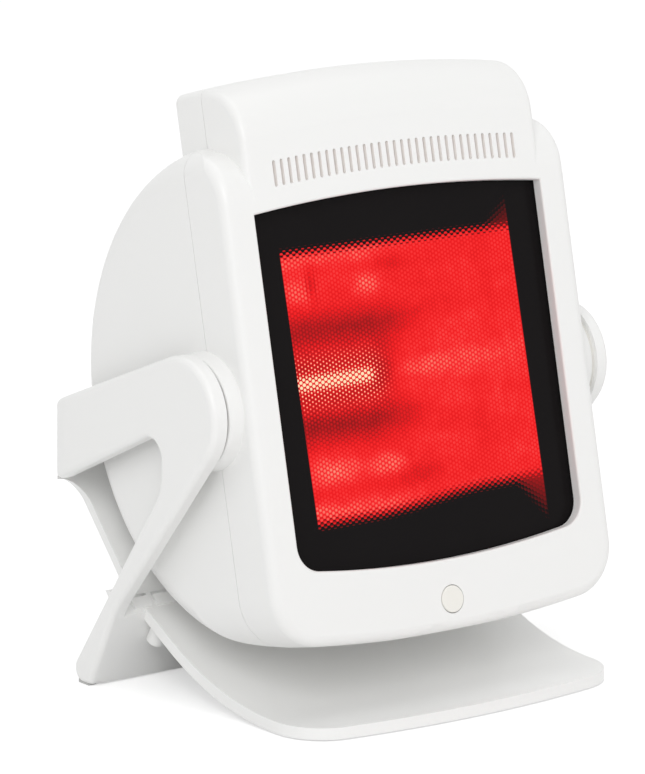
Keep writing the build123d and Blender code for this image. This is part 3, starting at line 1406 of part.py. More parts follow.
def plate_outline():
    """Plan view of the base plate, with its front edge gently bowed."""
    front = PLATE_HALF_FRONT
    side = -FRONT_REACH + arc_sag(PLATE_NOSE_R, front)
    nose = ThreePointArc((-front, side), (0, -FRONT_REACH), (front, side))
    rear = PLATE_HALF_REAR
    rest = Polyline((front, side), (rear, PLATE_REAR_Y), (-rear, PLATE_REAR_Y), (-front, side))
    face = make_face([nose, *rest.edges()])
    return round_corners(face, [(-front, side), (front, side)], PLATE_CORNER_R)


def hooks():
    """Hooked tongues at the plate's rear edge, one in each slot."""
    half = HOOK_SLOT / 2 - SLIP
    low = SLIP - HOOK_SLOT_DOWN
    back = -SHEET_WALL - SLIP
    pieces = []
    for x in hook_centres():
        x0 = x - half
        x1 = x + half
        lip = on_slope(x0, x1, -HOOK_SLOT_DOWN - HOOK_ROOT, low + HOOK_TONGUE, 0, HOOK_LIP)
        tongue = on_slope(x0, x1, low, low + HOOK_TONGUE, back - HOOK_BARB, HOOK_LIP)
        barb = on_slope(x0, x1, low - HOOK_DROP, low + HOOK_TONGUE, back - HOOK_BARB, back)
        pieces += [lip, tongue, barb]
    return pieces


def base_plate():
    """Curved front plate of the stand, hooked into the yoke and screwed to it."""
    plate = along_x(plate_profile(), -ARM_OUT, ARM_OUT) & along_z(plate_outline(), GROUND, 0)
    plate = union([plate, *hooks()])
    cuts = []
    for s in (-1, 1):
        bore = Pos(s * BASE_SCREW_X, 0, 0) * Cylinder(BASE_SCREW_R + SLIP, 3 * PLATE)
        pocket = Pos(s * BASE_SCREW_X, 0, 0) * Cylinder(
            BASE_CAP_R, BASE_CAP + BASE_SCREW_HEAD, align=(Align.CENTER, Align.CENTER, Align.MAX))
        cuts.append(base_screw_frame() * (bore + pocket))
        cuts.append(front_pad(s))
    return plate - cuts


def base_screws():
    """Screws through the base plate into the yoke's posts."""
    screws = []
    for s in (-1, 1):
        seat = -BASE_CAP - BASE_SCREW_HEAD
        shank = Pos(0, 0, seat) * Cylinder(
            BASE_SCREW_R, BASE_SCREW_LENGTH, align=(Align.CENTER, Align.CENTER, Align.MAX))
        head = Pos(0, 0, seat) * Cylinder(
            BASE_SCREW_HEAD_R, BASE_SCREW_HEAD, align=(Align.CENTER, Align.CENTER, Align.MIN))
        screws.append(base_screw_frame() * (Pos(s * BASE_SCREW_X, 0, 0) * (shank + head)))
    return screws


def base_screw_caps():
    """Plugs that cover the base screws, flush with the plate."""
    caps = []
    for s in (-1, 1):
        cap = Pos(s * BASE_SCREW_X, 0, 0) * Cylinder(
            BASE_CAP_R, BASE_CAP, align=(Align.CENTER, Align.CENTER, Align.MAX))
        caps.append(base_screw_frame() * cap)
    return caps


HEAD_NODES = {
    "front_bezel": front_bezel,
    "rear_housing": rear_housing,
    "window_glass": window_glass,
    "glass_gasket": glass_gasket,
    "glass_retainer": glass_retainer,
    "retainer_screws": retainer_screws,
    "housing_screws": housing_screws,
    "reflector": reflector,
    "reflector_end_plates": reflector_end_plates,
    "reflector_rivets": reflector_rivets,
    "heat_shield": heat_shield,
    "lamp_tube": lamp_tube,
    "lamp_filament": lamp_filament,
    "lamp_caps": lamp_caps,
    "lamp_holders": lamp_holders,
    "holder_brackets": holder_brackets,
    "holder_screws": holder_screws,
    "bracket_rivets": bracket_rivets,
    "thermal_cutout": thermal_cutout,
    "button_cap": button_cap,
    "switch_plunger": switch_plunger,
    "tact_switch": tact_switch,
    "switch_board": switch_board,
    "switch_board_screws": switch_board_screws,
    "control_board": control_board,
    "control_board_screws": control_board_screws,
    "power_module": power_module,
    "relay": relay,
    "buzzer": buzzer,
    "terminal_block": terminal_block,
    "lamp_leads": lamp_leads,
    "switch_lead": switch_lead,
    "cable_gland": cable_gland,
    "gland_nut": gland_nut,
    "pivot_disc_left": lambda: pivot_disc(-1),
    "pivot_disc_right": lambda: pivot_disc(1),
    "pivot_plate_left": lambda: pivot_plate(-1),
    "pivot_plate_right": lambda: pivot_plate(1),
    "disc_screws": disc_screws,
}

STAND_NODES = {
    "stand_yoke": stand_yoke,
    "base_plate": base_plate,
    "base_screws": base_screws,
    "base_screw_caps": base_screw_caps,
    "front_feet": front_feet,
    "rear_feet": rear_feet,
    "friction_washer_left": lambda: friction_washer(-1),
    "friction_washer_right": lambda: friction_washer(1),
    "pivot_insert_left": lambda: pivot_insert(-1),
    "pivot_insert_right": lambda: pivot_insert(1),
    "retaining_washer_left": lambda: retaining_washer(-1),
    "retaining_washer_right": lambda: retaining_washer(1),
    "pivot_screw_left": lambda: pivot_screw(-1),
    "pivot_screw_right": lambda: pivot_screw(1),
}


def write(name, shape, place):
    """Place a piece in the lamp's frame and write it as one STEP file."""
    solids = []
    for piece in (shape if isinstance(shape, list) else [shape]):
        solids += list((place * piece).solids())
    whole = solids[0] if len(solids) == 1 else group(solids)
    whole.label = name
    export_step(whole, "parts/" + name + ".step")
    print(name, len(solids), "solids")


os.makedirs("parts", exist_ok=True)
for node, make in HEAD_NODES.items():
    write(node, make(), HEAD)
for node, make in STAND_NODES.items():
    write(node, make(), STAND)
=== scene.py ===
"""Looks of the infrared heat therapy lamp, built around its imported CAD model. Metres, floor at z = 0."""
import math

import bpy
from mathutils import Matrix, Vector

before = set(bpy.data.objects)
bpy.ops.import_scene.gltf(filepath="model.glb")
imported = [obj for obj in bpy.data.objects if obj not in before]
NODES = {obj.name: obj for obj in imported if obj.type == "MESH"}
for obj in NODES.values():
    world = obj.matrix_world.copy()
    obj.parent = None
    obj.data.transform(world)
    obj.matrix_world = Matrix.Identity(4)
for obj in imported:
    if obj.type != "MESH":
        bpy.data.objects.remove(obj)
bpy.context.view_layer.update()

# --- camera ---
CAMERA_TURN = math.radians(38.048)
CAMERA_RISE = math.radians(12.26)
CAMERA_ROLL = math.radians(0.679)
CAMERA_AIM = Vector((-0.04452, -0.0300, 0.14922))
CAMERA_DISTANCE = 2.21842
CAMERA_LENS = 271.05
SENSOR = 36.0
CLIP_START = 0.05
CLIP_END = 30.0

# --- head frame: origin on the tilt axis, x to the right, z up along the glass ---
TILT = math.radians(13.07)
TILT_AXIS = Vector((0.0, -0.0175, 0.1427))
MM = 1000.0

# Painted glow: the vent slots' side walls emit a faint warm light, standing in for the lamp's light behind
# them. Head frame millimetres.
SLOTS_HALF = 77.0
SLOTS_LOW = 90.0
SLOTS_BACK = -5.0
SLOTS_EDGE = 1.0
SLOT_WALL_FACING = (0.6, 0.9)
SLOT_PAINTED_GLOW = (1.0, 0.72, 0.60)
SLOT_PAINTED_GLOW_LEVEL = 0.075

# --- light ---
AMBIENT = 0.64
FLOOR_HALF = 6.0
FLOOR_COLOUR = (0.86, 0.86, 0.86)
FLOOR_LIFT = 0.42
LAMP_AIM = Vector((0.0, 0.0, 0.15))
LAMPS = {
    "key": {"at": (-1.9, -2.0, 1.75), "size": 1.6, "watts": 28.0},
    "fill": {"at": (1.5, -2.2, 0.9), "size": 1.6, "watts": 5.0},
    "top": {"at": (0.1, 0.2, 2.4), "size": 2.0, "watts": 8.0},
}

# --- glow of the lit trough, painted on the glass as emission, in head frame millimetres ---
LIT_HALF = 67.2
LIT_SIDE_FADE = (-0.2, 0.3)
LIT_LEAN = 0.016
LIT_TOP = 65.5
LIT_TOP_SOFT = 0.8
LIT_LOW_LEFT = -57.0
LIT_LOW_RISE = 5.5
LIT_LOW_RISE_X = (-35.0, 40.0)
LIT_LOW_SOFT = 2.0
SPILL_TOP_X = 51.0
SPILL_TOP_SLOPE = 0.85
SPILL_TOP_LEVEL = 0.20
SPILL_LOW_X = 51.0
SPILL_LOW_SLOPE = 1.15
SPILL_LOW_LEVEL = 0.40
SPILL_LEAST_REACH = 0.01

# Colours of the painted glow by level: black glass, dark red, red, then warm white.
RAMP_PER_LEVEL = 0.4
GLOW_STOPS = [
    (0.0, (0.0, 0.0, 0.0)),
    (0.20, (0.42, 0.001, 0.003)),
    (0.40, (0.91, 0.005, 0.007)),
    (0.50, (0.95, 0.045, 0.044)),
    (0.75, (0.96, 0.42, 0.28)),
    (1.0, (0.98, 0.82, 0.52)),
]
GLASS_GLOSS = 0.02
GLASS_DARK = ((0.0092, 0.0080, 0.0083), (0.0108, 0.0094, 0.0097))

# Lens pattern of the glass. Each cell shows an upside-down patch of the painted glow, as a lens would of
# what lies behind it.
CELL = 2.05
CELL_WIDE = CELL * math.sqrt(3.0)
CELL_CORNER = CELL / math.sqrt(3.0)
LENS_THROW = -2.8
RIPPLE_PLAIN = 0.17
RIPPLE_UNEVEN = 0.50

# Mottle of the painted glow, with noise scales per metre.
MOTTLE = 0.13
MOTTLE_SCALE = 60.0
MOTTLE_STRETCH = (0.5, 1.0, 1.4)
MOTTLE_FINE = 0.10
MOTTLE_FINE_SCALE = 210.0

# Painted reflections: bands across the left half, where the trough mirrors its own rim: (height, width,
# change).
LEFT_END = (-27.0, 3.0)
GLOW_BANDS = [
    (30.0, 8.5, -0.54),
    (-14.5, 7.5, -0.60),
    (-53.0, 3.5, 0.18),
    (-43.5, 3.0, -0.10),
    (62.0, 3.0, 0.14),
]
# Soft spots of painted light and shade in the glow: (x, z, half width, half height, change).
GLOW_SPOTS = [
    (-22.0, 48.0, 8.0, 5.0, 0.26),
    (-60.0, 47.0, 9.0, 6.0, 0.18),
    (-21.0, -36.0, 10.0, 5.0, 0.28),
    (-53.0, -35.0, 15.0, 7.0, 0.26),
    (-53.0, 50.0, 2.0, 7.0, -0.42),
    (-3.0, -42.0, 14.0, 5.0, -0.26),
    (-7.0, 56.0, 10.0, 4.0, -0.22),
    (-16.0, 10.0, 6.0, 14.0, -0.22),
    (3.0, 6.5, 17.0, 4.5, 0.17),
    (38.0, 8.0, 34.0, 10.0, 0.13),
    (-6.0, 30.0, 13.0, 8.0, -0.24),
    (48.0, 50.0, 5.0, 26.0, -0.09),
    (36.0, -24.0, 6.0, 18.0, -0.10),
    (-4.0, -14.0, 10.0, 6.0, -0.20),
    (14.0, 34.0, 18.0, 5.0, -0.06),
]
# Painted reflection of the lamp tube: a bright streak across the left part of the glow.
STREAK_Z = 6.4
STREAK_WIDTH = 2.1
STREAK_END = (-27.0, -22.0)
STREAK_LEVEL = 1.65
# Painted glints: the bright tube glints in the middle of every cell near it, with dull red between.
GLINT_REACH = 13.0
GLINT_END = (-26.0, -8.0)
GLINT_RADIUS = 0.44
GLINT_LEVEL = 1.60
GLINT_DULL = 0.50

# --- surfaces ---
WHITE = (0.905, 0.905, 0.893)
GLOSS_SWING = 0.04
ROLLED_STRETCH = (4.0, 60.0, 60.0)
COIL_RADIANS_PER_METRE = 9000.0

# Sockets of the Mix node when it mixes colours.
MIX_FACTOR = 0
MIX_FIRST = 6
MIX_SECOND = 7
MIX_RESULT = 2


# --- node helpers ---
class Graph:
    """Small helper for writing the nodes of a material or a world."""

    def __init__(self, owner, output="ShaderNodeOutputMaterial"):
        self.owner = owner
        owner.use_nodes = True
        self.tree = owner.node_tree
        self.tree.nodes.clear()
        self.out = self.tree.nodes.new(output)

    def add(self, kind, **settings):
        node = self.tree.nodes.new(kind)
        for key, value in settings.items():
            setattr(node, key, value)
        return node

    def link(self, source, target):
        self.tree.links.new(source, target)

    def feed(self, socket, value):
        """Set a socket to a number, or link it to another socket."""
        if isinstance(value, bpy.types.NodeSocket):
            self.link(value, socket)
        else:
            socket.default_value = value

    def math(self, operation, *values):
        node = self.add("ShaderNodeMath", operation=operation)
        for socket, value in zip(node.inputs, values):
            self.feed(socket, value)
        return node.outputs[0]

    def plus(self, a, b):
        return self.math("ADD", a, b)

    def minus(self, a, b):
        return self.math("SUBTRACT", a, b)

    def times(self, a, b):
        return self.math("MULTIPLY", a, b)

    def step(self, value, low, high):
        """0 below low, 1 above high, smooth between."""
        node = self.add("ShaderNodeMapRange", interpolation_type="SMOOTHSTEP")
        self.feed(node.inputs["Value"], value)
        self.feed(node.inputs["From Min"], low)
        self.feed(node.inputs["From Max"], high)
        return node.outputs["Result"]

    def hill(self, value, centre, width):
        """Bell curve of height 1."""
        u = self.times(self.minus(value, centre), 1.0 / width)
        return self.math("EXPONENT", self.times(self.times(u, u), -1.0))

    def object_coordinates(self):
        return self.add("ShaderNodeTexCoord").outputs["Object"]

    def noise(self, vector, scale, detail=2.0):
        """Soft noise around 0.5; the scale is per unit of the vector."""
        node = self.add("ShaderNodeTexNoise")
        self.link(vector, node.inputs["Vector"])
        node.inputs["Scale"].default_value = scale
        node.inputs["Detail"].default_value = detail
        return node.outputs["Fac"]

    def between(self, factor, first, second):
        """Mix two colours."""
        node = self.add("ShaderNodeMix", data_type="RGBA")
        self.feed(node.inputs[MIX_FACTOR], factor)
        node.inputs[MIX_FIRST].default_value = (*first, 1.0)
        node.inputs[MIX_SECOND].default_value = (*second, 1.0)
        return node.outputs[MIX_RESULT]

    def spread(self, value, low, high):
        """Map 0..1 to low..high."""
        node = self.add("ShaderNodeMapRange")
        self.link(value, node.inputs["Value"])
        node.inputs["To Min"].default_value = low
        node.inputs["To Max"].default_value = high
        return node.outputs["Result"]

    def bump(self, height, strength, distance):
        node = self.add("ShaderNodeBump")
        node.inputs["Strength"].default_value = strength
        node.inputs["Distance"].default_value = distance
        self.link(height, node.inputs["Height"])
        return node.outputs["Normal"]

    def shader(self, roughness, metallic=0.0, specular=0.5, **rest):
        """The material's main shader; uniform numbers are set on its own sockets."""
        node = self.add("ShaderNodeBsdfPrincipled")
        node.inputs["Metallic"].default_value = metallic
        node.inputs["Specular IOR Level"].default_value = specular
        self.feed(node.inputs["Roughness"], roughness)
        for key, value in rest.items():
            self.feed(node.inputs[key.replace("_", " ")], value)
        self.link(node.outputs["BSDF"], self.out.inputs["Surface"])
        return node


def shade(colour, factor):
    return tuple(channel * factor for channel in colour)


def slot_walls(g):
    """1 on the side walls of the vent slots, where the glow is painted, and 0 elsewhere."""
    x, y, z = head_frame(g)
    separate = g.add("ShaderNodeSeparateXYZ")
    g.link(g.add("ShaderNodeNewGeometry").outputs["Normal"], separate.inputs[0])
    sideways = g.step(g.math("ABSOLUTE", separate.outputs["X"]), *SLOT_WALL_FACING)
    within = g.minus(1.0, g.step(g.math("ABSOLUTE", x), SLOTS_HALF, SLOTS_HALF + SLOTS_EDGE))
    before = g.minus(1.0, g.step(y, SLOTS_BACK - SLOTS_EDGE, SLOTS_BACK))
    above = g.step(z, SLOTS_LOW - SLOTS_EDGE, SLOTS_LOW)
    return g.times(g.times(sideways, within), g.times(before, above))


def moulded(name, colour, roughness=0.34, grain=0.05, variation=0.012, slots=False):
    """Injection-moulded plastic: faint flow tint, uneven gloss and a very fine spark-eroded grain;
    optionally a painted glow on the vent slots' side walls.
    """
    g = Graph(bpy.data.materials.new(name))
    place = g.object_coordinates()
    flow = g.noise(place, scale=9.0, detail=3.0)
    tint = g.between(flow, shade(colour, 1.0 - variation), shade(colour, 1.0 + variation))
    gloss = g.spread(g.noise(place, scale=55.0), roughness - GLOSS_SWING, roughness + GLOSS_SWING)
    skin = g.bump(g.noise(place, scale=2600.0, detail=1.0), strength=grain, distance=0.0002)
    node = g.shader(gloss)
    # Painted glow on the vent slots' side walls, standing in for the lamp's light through them.
    if slots:
        node.inputs["Emission Color"].default_value = (*SLOT_PAINTED_GLOW, 1.0)
        g.link(g.times(slot_walls(g), SLOT_PAINTED_GLOW_LEVEL), node.inputs["Emission Strength"])
    g.link(tint, node.inputs["Base Color"])
    g.link(skin, node.inputs["Normal"])
    return g.owner


def rubber(name, colour, roughness=0.75):
    """Soft matt rubber or silicone with a powdery grain."""
    g = Graph(bpy.data.materials.new(name))
    place = g.object_coordinates()
    tint = g.between(g.noise(place, scale=120.0, detail=4.0), shade(colour, 0.85), shade(colour, 1.15))
    node = g.shader(g.spread(g.noise(place, scale=300.0), roughness - 0.08, roughness + 0.08))
    powder = g.noise(place, scale=1800.0, detail=3.0)
    g.link(tint, node.inputs["Base Color"])
    g.link(g.bump(powder, strength=0.2, distance=0.0003), node.inputs["Normal"])
    return g.owner


def rolled_metal(name, colour, roughness, grain=0.15):
    """Sheet or turned metal with fine lines along one direction."""
    g = Graph(bpy.data.materials.new(name))
    mapping = g.add("ShaderNodeMapping")
    mapping.inputs["Scale"].default_value = ROLLED_STRETCH
    g.link(g.object_coordinates(), mapping.inputs["Vector"])
    lines = g.noise(mapping.outputs["Vector"], scale=40.0, detail=4.0)
    tint = g.between(lines, shade(colour, 0.88), shade(colour, 1.06))
    node = g.shader(g.spread(lines, roughness - 0.07, roughness + 0.1), metallic=1.0)
    g.link(tint, node.inputs["Base Color"])
    g.link(g.bump(lines, strength=grain, distance=0.0002), node.inputs["Normal"])
    return g.owner


def ceramic(name, colour):
    """Unglazed steatite with small specks."""
    g = Graph(bpy.data.materials.new(name))
    place = g.object_coordinates()
    specks = g.step(g.noise(place, scale=900.0, detail=4.0), 0.62, 0.7)
    node = g.shader(g.spread(g.noise(place, scale=90.0), 0.5, 0.7))
    pores = g.noise(place, scale=1500.0, detail=3.0)
    g.link(g.between(specks, colour, shade(colour, 0.8)), node.inputs["Base Color"])
    g.link(g.bump(pores, strength=0.15, distance=0.0002), node.inputs["Normal"])
    return g.owner


def circuit_board(name, colour):
    """Solder mask with the weave of the laminate showing through."""
    g = Graph(bpy.data.materials.new(name))
    place = g.object_coordinates()
    weave = g.add("ShaderNodeTexChecker")
    weave.inputs["Scale"].default_value = 1400.0
    g.link(place, weave.inputs["Vector"])
    tint = g.between(g.noise(place, scale=220.0), shade(colour, 0.8), shade(colour, 1.2))
    node = g.shader(g.spread(g.noise(place, scale=60.0), 0.25, 0.4))
    g.link(tint, node.inputs["Base Color"])
    g.link(g.bump(weave.outputs["Fac"], strength=0.1, distance=0.0001), node.inputs["Normal"])
    return g.owner


def clear_quartz(name):
    """Clear quartz with a faint warm tint."""
    g = Graph(bpy.data.materials.new(name))
    place = g.object_coordinates()
    gloss = g.spread(g.noise(place, scale=200.0), 0.02, 0.08)
    tint = g.between(g.noise(place, scale=80.0), (1.0, 0.86, 0.74), (1.0, 0.93, 0.86))
    node = g.shader(gloss, Transmission_Weight=0.9, IOR=1.46)
    g.link(tint, node.inputs["Base Color"])
    return g.owner


def hot_coil(name):
    """Glowing filament, with the turns of its coil as light and dark bands."""
    g = Graph(bpy.data.materials.new(name))
    separate = g.add("ShaderNodeSeparateXYZ")
    g.link(g.object_coordinates(), separate.inputs[0])
    turns = g.math("SINE", g.times(separate.outputs["X"], COIL_RADIANS_PER_METRE))
    glow = g.between(g.spread(turns, 0.5, 1.0), (0.8, 0.12, 0.02), (1.0, 0.55, 0.2))
    node = g.shader(0.5, Emission_Strength=4.0)
    node.inputs["Base Color"].default_value = (0.2, 0.15, 0.12, 1.0)
    g.link(glow, node.inputs["Emission Color"])
    return g.owner


# --- window glass ---
def head_frame(g):
    """The shaded point in head frame millimetres, as x, y and z sockets."""
    turn = Matrix.Rotation(TILT, 3, "X")
    mapping = g.add("ShaderNodeMapping")
    mapping.inputs["Rotation"].default_value = (TILT, 0.0, 0.0)
    mapping.inputs["Scale"].default_value = (MM, MM, MM)
    mapping.inputs["Location"].default_value = -(turn @ TILT_AXIS) * MM
    g.link(g.object_coordinates(), mapping.inputs["Vector"])
    separate = g.add("ShaderNodeSeparateXYZ")
    g.link(mapping.outputs["Vector"], separate.inputs[0])
    return separate.outputs["X"], separate.outputs["Y"], separate.outputs["Z"]


def cell_offset(g, x, z):
    """Offset of a point from the middle of its cell in the hexagonal lens pattern, and its square.

    The cells' middles form two interleaved rectangular grids, a and b, and the nearer one counts.
    """

    def wrapped(value, pitch, shift):
        return g.math("WRAP", g.plus(value, shift), pitch / 2, -pitch / 2)

    ax = wrapped(x, CELL_WIDE, 0.0)
    az = wrapped(z, CELL, 0.0)
    bx = wrapped(x, CELL_WIDE, CELL_WIDE / 2)
    bz = wrapped(z, CELL, CELL / 2)
    a2 = g.plus(g.times(ax, ax), g.times(az, az))
    b2 = g.plus(g.times(bx, bx), g.times(bz, bz))
    pick = g.math("LESS_THAN", b2, a2)
    dx = g.plus(ax, g.times(pick, g.minus(bx, ax)))
    dz = g.plus(az, g.times(pick, g.minus(bz, az)))
    return dx, dz, g.math("MINIMUM", a2, b2)


def lit_shape(g, x, z):
    """1 over the lit trough and 0 on the dark frame, with faint spill at the two right corners; the
    outline of the painted glow.
    """
    low_edge = g.plus(g.times(g.step(x, *LIT_LOW_RISE_X), LIT_LOW_RISE), LIT_LOW_LEFT)
    sides = (
        (g.minus(z, LIT_TOP), LIT_TOP_SOFT, SPILL_TOP_X, SPILL_TOP_SLOPE, SPILL_TOP_LEVEL),
        (g.minus(low_edge, z), LIT_LOW_SOFT, SPILL_LOW_X, SPILL_LOW_SLOPE, SPILL_LOW_LEVEL))
    shape = 1.0
    for past, soft, start, slope, strength in sides:
        inside = g.minus(1.0, g.step(past, -soft, soft))
        reach = g.plus(g.times(g.math("MAXIMUM", g.minus(x, start), 0.0), slope), SPILL_LEAST_REACH)
        spill = g.times(g.math("MAXIMUM", g.minus(1.0, g.math("DIVIDE", past, reach)), 0.0), strength)
        shape = g.times(g.math("MAXIMUM", inside, g.math("MINIMUM", spill, strength)), shape)
    return shape


def glow_level(g, x, z):
    """How brightly the painted glow of the trough shows at a point: 1 is plain red, above that it turns
    warm.
    """
    left = g.minus(1.0, g.step(x, *LEFT_END))
    level = 1.0
    for height, width, change in GLOW_BANDS:
        level = g.plus(g.times(g.times(g.hill(z, height, width), left), change), level)
    for at_x, at_z, half_x, half_z, change in GLOW_SPOTS:
        spot = g.times(g.hill(x, at_x, half_x), g.hill(z, at_z, half_z))
        level = g.plus(g.times(spot, change), level)
    streak = g.times(g.hill(z, STREAK_Z, STREAK_WIDTH), g.minus(1.0, g.step(x, *STREAK_END)))
    return g.plus(level, g.times(streak, STREAK_LEVEL))


def glow_colour(g, level):
    """The painted glow's colour at a level."""
    ramp = g.add("ShaderNodeValToRGB")
    elements = ramp.color_ramp.elements
    while len(elements) < len(GLOW_STOPS):
        elements.new(0.5)
    for element, (position, colour) in zip(elements, GLOW_STOPS):
        element.position = position
        element.color = (*colour, 1.0)
    g.link(g.times(level, RAMP_PER_LEVEL), ramp.inputs["Fac"])
    return ramp.outputs["Color"]


def window_pane(name):
    """Dark glass-ceramic with a fine hexagonal lens pattern, and the lit trough's glow, reflections and
    glints painted on it as emission.
    """
    g = Graph(bpy.data.materials.new(name))
    x, _, z = head_frame(g)
    dx, dz, d2 = cell_offset(g, x, z)
    seen_x = g.plus(x, g.times(dx, LENS_THROW))
    seen_z = g.plus(z, g.times(dz, LENS_THROW))
    level = glow_level(g, seen_x, seen_z)
    near = g.times(g.hill(z, STREAK_Z, GLINT_REACH), g.minus(1.0, g.step(x, *GLINT_END)))
    glint = g.math("EXPONENT", g.times(d2, -1.0 / GLINT_RADIUS ** 2))
    level = g.plus(level, g.times(near, g.minus(g.times(glint, GLINT_LEVEL), GLINT_DULL)))
    place = g.object_coordinates()
    drawn_out = g.add("ShaderNodeMapping")
    drawn_out.inputs["Scale"].default_value = MOTTLE_STRETCH
    g.link(place, drawn_out.inputs["Vector"])
    mottle = g.noise(drawn_out.outputs["Vector"], scale=MOTTLE_SCALE, detail=3.0)
    fine_mottle = g.noise(place, scale=MOTTLE_FINE_SCALE)
    level = g.plus(level, g.spread(mottle, -MOTTLE, MOTTLE))
    level = g.plus(level, g.spread(fine_mottle, -MOTTLE_FINE, MOTTLE_FINE))
    uneven = g.math("ABSOLUTE", g.minus(level, 1.0))
    depth = g.plus(g.times(uneven, RIPPLE_UNEVEN), RIPPLE_PLAIN)
    # 1 in the middle of a cell, -1 at its corners.
    rounding = g.minus(1.0, g.times(d2, 2.0 / CELL_CORNER ** 2))
    ripple = g.plus(g.times(rounding, depth), 1.0)
    leaned = g.math("ABSOLUTE", g.plus(x, g.times(z, LIT_LEAN)))
    fade_start, fade_end = LIT_SIDE_FADE
    mask = g.minus(1.0, g.step(leaned, LIT_HALF + fade_start, LIT_HALF + fade_end))
    level = g.times(g.times(g.times(level, ripple), lit_shape(g, seen_x, seen_z)), mask)
    dark = g.between(g.noise(place, scale=30.0), *GLASS_DARK)
    gloss = g.spread(g.noise(place, scale=70.0), 0.07, 0.12)
    node = g.shader(gloss, specular=GLASS_GLOSS, Emission_Strength=1.0)
    g.link(dark, node.inputs["Base Color"])
    g.link(glow_colour(g, level), node.inputs["Emission Color"])
    return g.owner


# --- materials by CAD node ---
def dress(material, *names):
    """Give CAD nodes their material."""
    for name in names:
        mesh = NODES[name].data
        mesh.materials.clear()
        mesh.materials.append(material)


def dress_all():
    # The shell carries the painted glow on its vent slots' side walls.
    shell = moulded("shell_white", WHITE, slots=True)
    dress(shell, "front_bezel", "rear_housing", "pivot_disc_left", "pivot_disc_right")
    dress(moulded("stand_white", shade(WHITE, 1.005), 0.36), "stand_yoke")
    # The base plate is a lighter white than the shell as painted light, lifting its shaded top under the
    # head.
    dress(moulded("plate_white_painted_lift", shade(WHITE, 1.035), 0.36), "base_plate", "base_screw_caps")
    dress(moulded("gland_white", shade(WHITE, 0.97), 0.45), "cable_gland")
    dress(moulded("button_cream", (0.89, 0.875, 0.82), 0.3), "button_cap")
    dress(window_pane("window_glass"), "window_glass")
    dress(rubber("gasket_black", (0.032, 0.031, 0.031)), "glass_gasket")
    dress(rubber("foot_grey", (0.55, 0.55, 0.54)), "front_feet", "rear_feet")
    dress(rubber("lead_red", (0.36, 0.03, 0.02), 0.5), "lamp_leads", "switch_lead")
    dress(moulded("black_enamel", (0.015, 0.015, 0.015), 0.55, 0.1, 0.2), "glass_retainer")
    zinc = rolled_metal("zinc_steel", (0.60, 0.61, 0.62), 0.32)
    dress(zinc, "retainer_screws", "housing_screws", "reflector_rivets", "holder_screws", "bracket_rivets")
    dress(zinc, "switch_board_screws", "control_board_screws", "disc_screws", "base_screws")
    dress(zinc, "pivot_screw_left", "pivot_screw_right", "retaining_washer_left", "retaining_washer_right")
    sheet = rolled_metal("galvanised_sheet", (0.52, 0.53, 0.54), 0.38)
    dress(sheet, "heat_shield", "holder_brackets", "pivot_plate_left", "pivot_plate_right")
    mirror = rolled_metal("polished_aluminium", (0.88, 0.88, 0.89), 0.12, grain=0.05)
    dress(mirror, "reflector", "reflector_end_plates")
    dress(rolled_metal("brass", (0.70, 0.50, 0.20), 0.28), "pivot_insert_left", "pivot_insert_right")
    dress(clear_quartz("quartz"), "lamp_tube")
    dress(hot_coil("filament"), "lamp_filament")
    dress(ceramic("steatite", (0.80, 0.77, 0.70)), "lamp_caps", "lamp_holders")
    dress(circuit_board("board_green", (0.03, 0.16, 0.06)), "switch_board", "control_board")
    black = moulded("black_plastic", (0.02, 0.02, 0.02), 0.45, 0.2, 0.2)
    dress(black, "tact_switch", "switch_plunger", "power_module", "buzzer", "gland_nut", "thermal_cutout")
    dress(moulded("relay_blue", (0.02, 0.07, 0.30), 0.35, 0.1, 0.1), "relay")
    dress(moulded("terminal_green", (0.03, 0.26, 0.08), 0.4, 0.1, 0.1), "terminal_block")
    # Painted shade: the left friction washer is dark to show the shadowed pivot gap; the right one, the
    # same part, is white where no shade shows.
    dress(moulded("washer_dark_painted_shade", (0.07, 0.06, 0.05), 0.7, 0.4, 0.2), "friction_washer_left")
    dress(moulded("washer_white_unshaded", (0.80, 0.79, 0.75), 0.45, 0.1, 0.03), "friction_washer_right")


# --- stage ---
def camera_or_mirror_ray(g):
    """1 where the camera sees a surface directly, in a reflection or through glass."""
    path = g.add("ShaderNodeLightPath")
    seen = g.math("MAXIMUM", path.outputs["Is Camera Ray"], path.outputs["Is Glossy Ray"])
    return g.math("MAXIMUM", seen, path.outputs["Is Transmission Ray"])


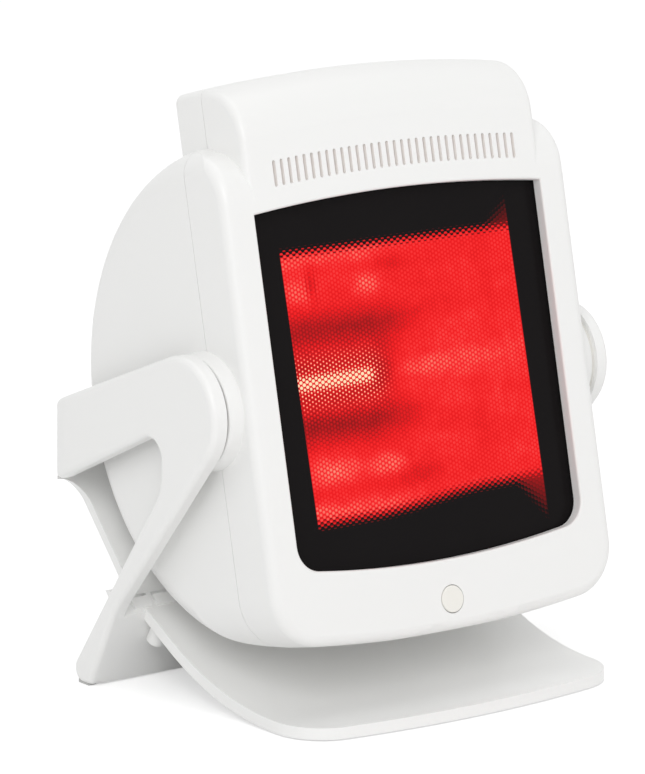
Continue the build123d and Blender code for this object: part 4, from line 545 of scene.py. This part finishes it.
def make_floor():
    """Pale floor that keeps the lamp's shadow."""
    mesh = bpy.data.meshes.new("floor")
    signs = ((-1, -1), (1, -1), (1, 1), (-1, 1))
    corners = [(sign_x * FLOOR_HALF, sign_y * FLOOR_HALF, 0) for sign_x, sign_y in signs]
    mesh.from_pydata(corners, [], [(0, 1, 2, 3)])
    floor = bpy.data.objects.new("floor", mesh)
    bpy.context.scene.collection.objects.link(floor)
    g = Graph(bpy.data.materials.new("floor_pale"))
    matt = g.add("ShaderNodeBsdfDiffuse")
    matt.inputs["Color"].default_value = (*FLOOR_COLOUR, 1.0)
    lift = g.add("ShaderNodeEmission")
    g.link(g.times(camera_or_mirror_ray(g), FLOOR_LIFT), lift.inputs["Strength"])
    both = g.add("ShaderNodeAddShader")
    g.link(matt.outputs[0], both.inputs[0])
    g.link(lift.outputs[0], both.inputs[1])
    g.link(both.outputs[0], g.out.inputs["Surface"])
    mesh.materials.append(g.owner)


def make_world():
    """White where it is seen directly, in a reflection or through glass; soft grey light otherwise."""
    world = bpy.data.worlds.new("studio")
    bpy.context.scene.world = world
    g = Graph(world, "ShaderNodeOutputWorld")
    background = g.add("ShaderNodeBackground")
    background.inputs["Color"].default_value = (1.0, 1.0, 1.0, 1.0)
    g.link(g.spread(camera_or_mirror_ray(g), AMBIENT, 1.0), background.inputs["Strength"])
    g.link(background.outputs[0], g.out.inputs["Surface"])


def make_lamps():
    """Large soft area lamps aimed at the middle of the object."""
    for name, lamp in LAMPS.items():
        data = bpy.data.lights.new(name, "AREA")
        data.shape = "SQUARE"
        data.size = lamp["size"]
        data.energy = lamp["watts"]
        obj = bpy.data.objects.new(name, data)
        obj.location = lamp["at"]
        obj.rotation_euler = (LAMP_AIM - obj.location).to_track_quat("-Z", "Y").to_euler()
        bpy.context.scene.collection.objects.link(obj)


def make_camera():
    """Camera at the measured viewing angle."""
    flat = math.cos(CAMERA_RISE)
    back = Vector((-math.sin(CAMERA_TURN) * flat, -math.cos(CAMERA_TURN) * flat, math.sin(CAMERA_RISE)))
    right = Vector((math.cos(CAMERA_TURN), -math.sin(CAMERA_TURN), 0.0))
    up = back.cross(right)
    roll_cos = math.cos(CAMERA_ROLL)
    roll_sin = math.sin(CAMERA_ROLL)
    axes = (roll_cos * right + roll_sin * up, roll_cos * up - roll_sin * right, back)
    data = bpy.data.cameras.new("camera")
    data.sensor_fit = "HORIZONTAL"
    data.sensor_width = SENSOR
    data.lens = CAMERA_LENS
    data.clip_start = CLIP_START
    data.clip_end = CLIP_END
    obj = bpy.data.objects.new("camera", data)
    place = Matrix(axes).transposed().to_4x4()
    place.translation = CAMERA_AIM + back * CAMERA_DISTANCE
    obj.matrix_world = place
    bpy.context.scene.collection.objects.link(obj)
    bpy.context.scene.camera = obj


dress_all()
make_floor()
make_world()
make_lamps()
make_camera()
bpy.context.scene.view_settings.view_transform = "Standard"
